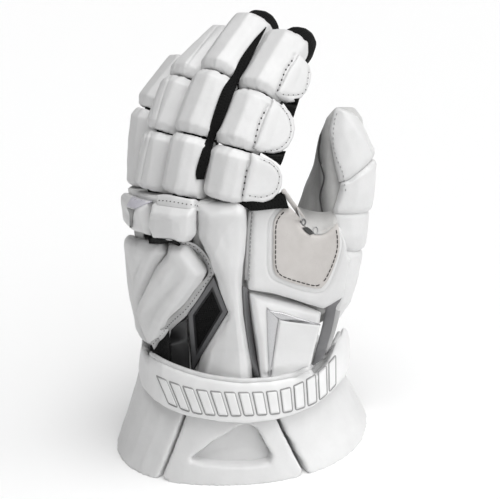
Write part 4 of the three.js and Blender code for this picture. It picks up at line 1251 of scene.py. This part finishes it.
# The eyelet's hole is a thin near-black sheet of painted shade.
hole = let_in("eyelet_hole", eyelet_under, EYELET_HOLE, -HOLE_PROUD, HOLE_THICK, 5, 0, 12, over=True)
dressed(hole, hole_shade, "suede")
turns = np.linspace(0, 2 * math.pi, RING_POINTS)
for name, (x, y, wide, high) in EYELET_RINGS.items():
    marks = np.column_stack([x + wide * np.cos(turns), y + high * np.sin(turns)])
    points, normals = laid(surface_of(heel, patch, lace, web), sights(marks, True), RING_STEP)
    ring = rods(name, [(points + normals * RING_PROUD, normals, np.full(len(points), RING_RADIUS))])
    dressed(ring, light_trim if name == "eyelet_ring" else grey_trim, "grey_trim")

thumb_axis = np.array((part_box("thumb_tip_pad")[0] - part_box("thumb_root_pad")[0]).normalized())
thumb_pads = {}
for name in ("tip", "middle", "band", "root"):
    node_name = f"thumb_{name}_pad"
    pad = foam_block(f"thumb_{name}_block", node_name, PAD_CELL, 22 if name == "tip" else 10, THUMB_PAD_PUFF)
    pressed(pad, THUMB_CLOSING * (normals_of(pad) @ thumb_axis) ** 2)
    for start, end in THUMB_TIP_SIDES:
        squeezed(pad, start, end, THUMB_SIDE_BAND)
    for moved, seam, reach in THUMB_SEAMS_MOVED:
        marks = marks_of(points_of(pad))
        move, level = read_off(marks[:, 0], moved, seam)
        shifted(pad, 0, move * np.exp(-(((marks[:, 1] - level) / reach) ** 2)))
    settled(pad, ("SMOOTH", {"factor": 0.5, "iterations": 8 if name == "tip" else 2}))
    thumb_pads[name] = pad
thumb_back = surface_of(*thumb_pads.values())
for marks in (THUMB_SIDE_SEAM, THUMB_CREASE):
    line, _ = laid(thumb_back, sights(marks))
    for pad in thumb_pads.values():
        channelled(pad, line, *THUMB_GROOVE)
for name, pad in thumb_pads.items():
    dressed(pad, white_leather, "white_leather", f"thumb_{name}_pad")
edge_seam = seen_on(THUMB_EDGE_SEAM, *thumb_pads.values(), thumb)
dressed(stitches("thumb_stitches", [edge_seam], *THUMB_STITCH), grey_thread, "white_leather")

# Wrist strap
# A broad band of padded leather closes round the wrist, over the feet of the spine and the
# gauntlet panel. A soft roll is sewn along its upper edge.
STRAP_CELL = 1.2 * MM
STRAP_PUFF = 0.3 * MM
STRAP_ROUNDS = 14
STRAP_LEFT = ((138.5, 392), (138.5, 332))
STRAP_LEFT_BAND = 24
STRAP_TOP = [(139, 342), (154, 352.5), (169, 361), (193, 370), (215, 375), (239.5, 378), (260, 377.5),
 (276, 376), (294, 371.5), (311, 364), (325, 354), (335, 339), (343, 322)]
STRAP_BOTTOM = [(139, 380), (142, 388), (154, 401), (169, 409.5), (184, 415.5), (221, 422), (247, 423.5),
 (276, 420), (295, 414.5), (313, 407), (330, 394), (345, 378.5)]
STRAP_COLUMN = 1.5
STRAP_BACK = 25 * MM
STRAP_FADE = 20 * MM
STRAP_LIFTED = 5 * MM
STRAP_OVER = 1.4 * MM
STRAP_ROLL = [(143, 348), (155, 356.5), (169, 364.2), (193, 373), (215, 378), (239.5, 381), (260, 380.5),
 (276, 379), (294, 374.5), (309, 367.5), (323, 358), (334, 344), (340, 333)]
ROLL_RADIUS = 1.8 * MM
ROLL_SUNK = 1.4 * MM
strap = foam_block("strap_band", "wrist_strap", STRAP_CELL, 9, STRAP_PUFF)
squeezed(strap, *STRAP_LEFT, STRAP_LEFT_BAND)
marks = marks_of(points_of(strap))
depth = np.linalg.norm(points_of(strap) - eye, axis=1)
half_way = (depth.max() + depth.min()) / 2
front = np.clip((half_way + STRAP_BACK - depth) / STRAP_FADE, 0, 1)
columns = np.arange(marks[:, 0].min() + STRAP_COLUMN, marks[:, 0].max() - STRAP_COLUMN, STRAP_COLUMN)
now = [marks[(abs(marks[:, 0] - x) < STRAP_COLUMN) & (front == 1), 1] for x in columns]
top_now = np.interp(marks[:, 0], columns, [np.min(levels) for levels in now])
bottom_now = np.interp(marks[:, 0], columns, [np.max(levels) for levels in now])
top, bottom = read_off(marks[:, 0], STRAP_TOP, STRAP_BOTTOM)
wanted = bottom + (marks[:, 1] - bottom_now) / (top_now - bottom_now) * (top - bottom)
shifted(strap, 0, (wanted - marks[:, 1]) * front)
under_strap = surface_of(panel, face, spine, web, hand, *[bpy.data.objects[name] for name in CHANNELS])
points, facing = points_of(strap), normals_of(strap)
for i in np.flatnonzero(depth < half_way - STRAP_LIFTED):
    away = points[i] - eye
    far = np.linalg.norm(away)
    if facing[i] @ away < 0:
        hit = under_strap.ray_cast(camera_place, Vector(away / far))
        if hit[0] and hit[3] < far + STRAP_OVER:
            points[i] = eye + away / far * (hit[3] - STRAP_OVER)
set_points(strap, points)
settled(strap, ("SMOOTH", {"factor": 0.5, "iterations": STRAP_ROUNDS}))
dressed(strap, bright_leather, "white_leather", "wrist_strap")
strap_front = surface_of(strap)
roll = piping("strap_roll", laid(strap_front, sights(STRAP_ROLL)), ROLL_RADIUS, ROLL_SUNK)
dressed(roll, bright_leather, "white_leather")

# Raised plates of the strap
# A row of slanted plates stands proud of the strap's leather, moulded into it. Each has a thin
# grey outline round it.
PLATE_TOPS = [(157, 377), (175, 384.5), (200, 391), (239.5, 393.5), (280, 391), (308, 380), (328, 365),
 (341, 349)]
PLATE_BOTTOMS = [(162, 400), (190, 411), (215, 414.5), (239.5, 415), (280, 412.5), (308, 405),
 (324, 395.5), (337, 382)]
PLATE_COUNT = 14
PLATE_SHARE = 0.66
PLATE_SLANT = 0.035
PLATE_PROUD = 1.3 * MM
OUTLINE_GROWTH = 0.1
OUTLINE_RADIUS = 0.5 * MM
plate_lines = [curved(marks) for marks in (PLATE_TOPS, PLATE_BOTTOMS)]


def along_plates(line, share):
    """The mark at a share of the way along the row."""
    along = run_of(line, 2)
    return sampled(line, along, np.clip([share], 0, 1) * along[-1])[0]


outlines = []
for k in range(PLATE_COUNT):
    first = (k + 0.3) / (PLATE_COUNT + 0.4)
    last = first + PLATE_SHARE / PLATE_COUNT
    corners = [
        along_plates(plate_lines[0], first - PLATE_SLANT / 2),
        along_plates(plate_lines[0], last - PLATE_SLANT / 2),
        along_plates(plate_lines[1], last + PLATE_SLANT / 2),
        along_plates(plate_lines[1], first + PLATE_SLANT / 2),
    ]
    sides = ([corners[0], corners[3]], [corners[1], corners[2]])
    plate = let_in(f"strap_plate_{k}", strap_front, sides, -PLATE_PROUD, SKIN_THICK, 6, 0, 12, over=True)
    dressed(plate, bright_leather, "white_leather")
    middle = np.mean(corners, axis=0)
    ring = [corner + (corner - middle) * OUTLINE_GROWTH for corner in corners]
    points, normals = laid(strap_front, sights([*ring, ring[0]], True))
    outlines.append((points, normals, np.full(len(points), OUTLINE_RADIUS)))
dressed(rods("strap_outlines", outlines), grey_leather, "white_leather")

# Cuff
# Three flared foam panels under leather, sewn to the wrist. The middle one has a window with
# a backing panel behind it.
CUFF_PANELS = {"cuff_middle": "cuff_center", "cuff_outer": "cuff_outer_side", "cuff_inner": "cuff_inner_side"}
CUFF_CELL = 1.4 * MM
CUFF_PUFF = 0.3 * MM
BACKING_CELL = 1.0 * MM
BACKING_PUFF = 0.1 * MM
BACKING_SET_BACK = 3 * MM
for name, node_name in CUFF_PANELS.items():
    cuff_panel = foam_block(name, node_name, CUFF_CELL, 6, CUFF_PUFF)
    dressed(cuff_panel, white_leather, "white_leather", node_name)
backing = foam_block("window_backing", "cuff_window_panel", BACKING_CELL, 3, BACKING_PUFF)
pushed(backing, BACKING_SET_BACK)
dressed(backing, white_leather, "white_leather", "cuff_window_panel")

bpy.context.view_layer.update()
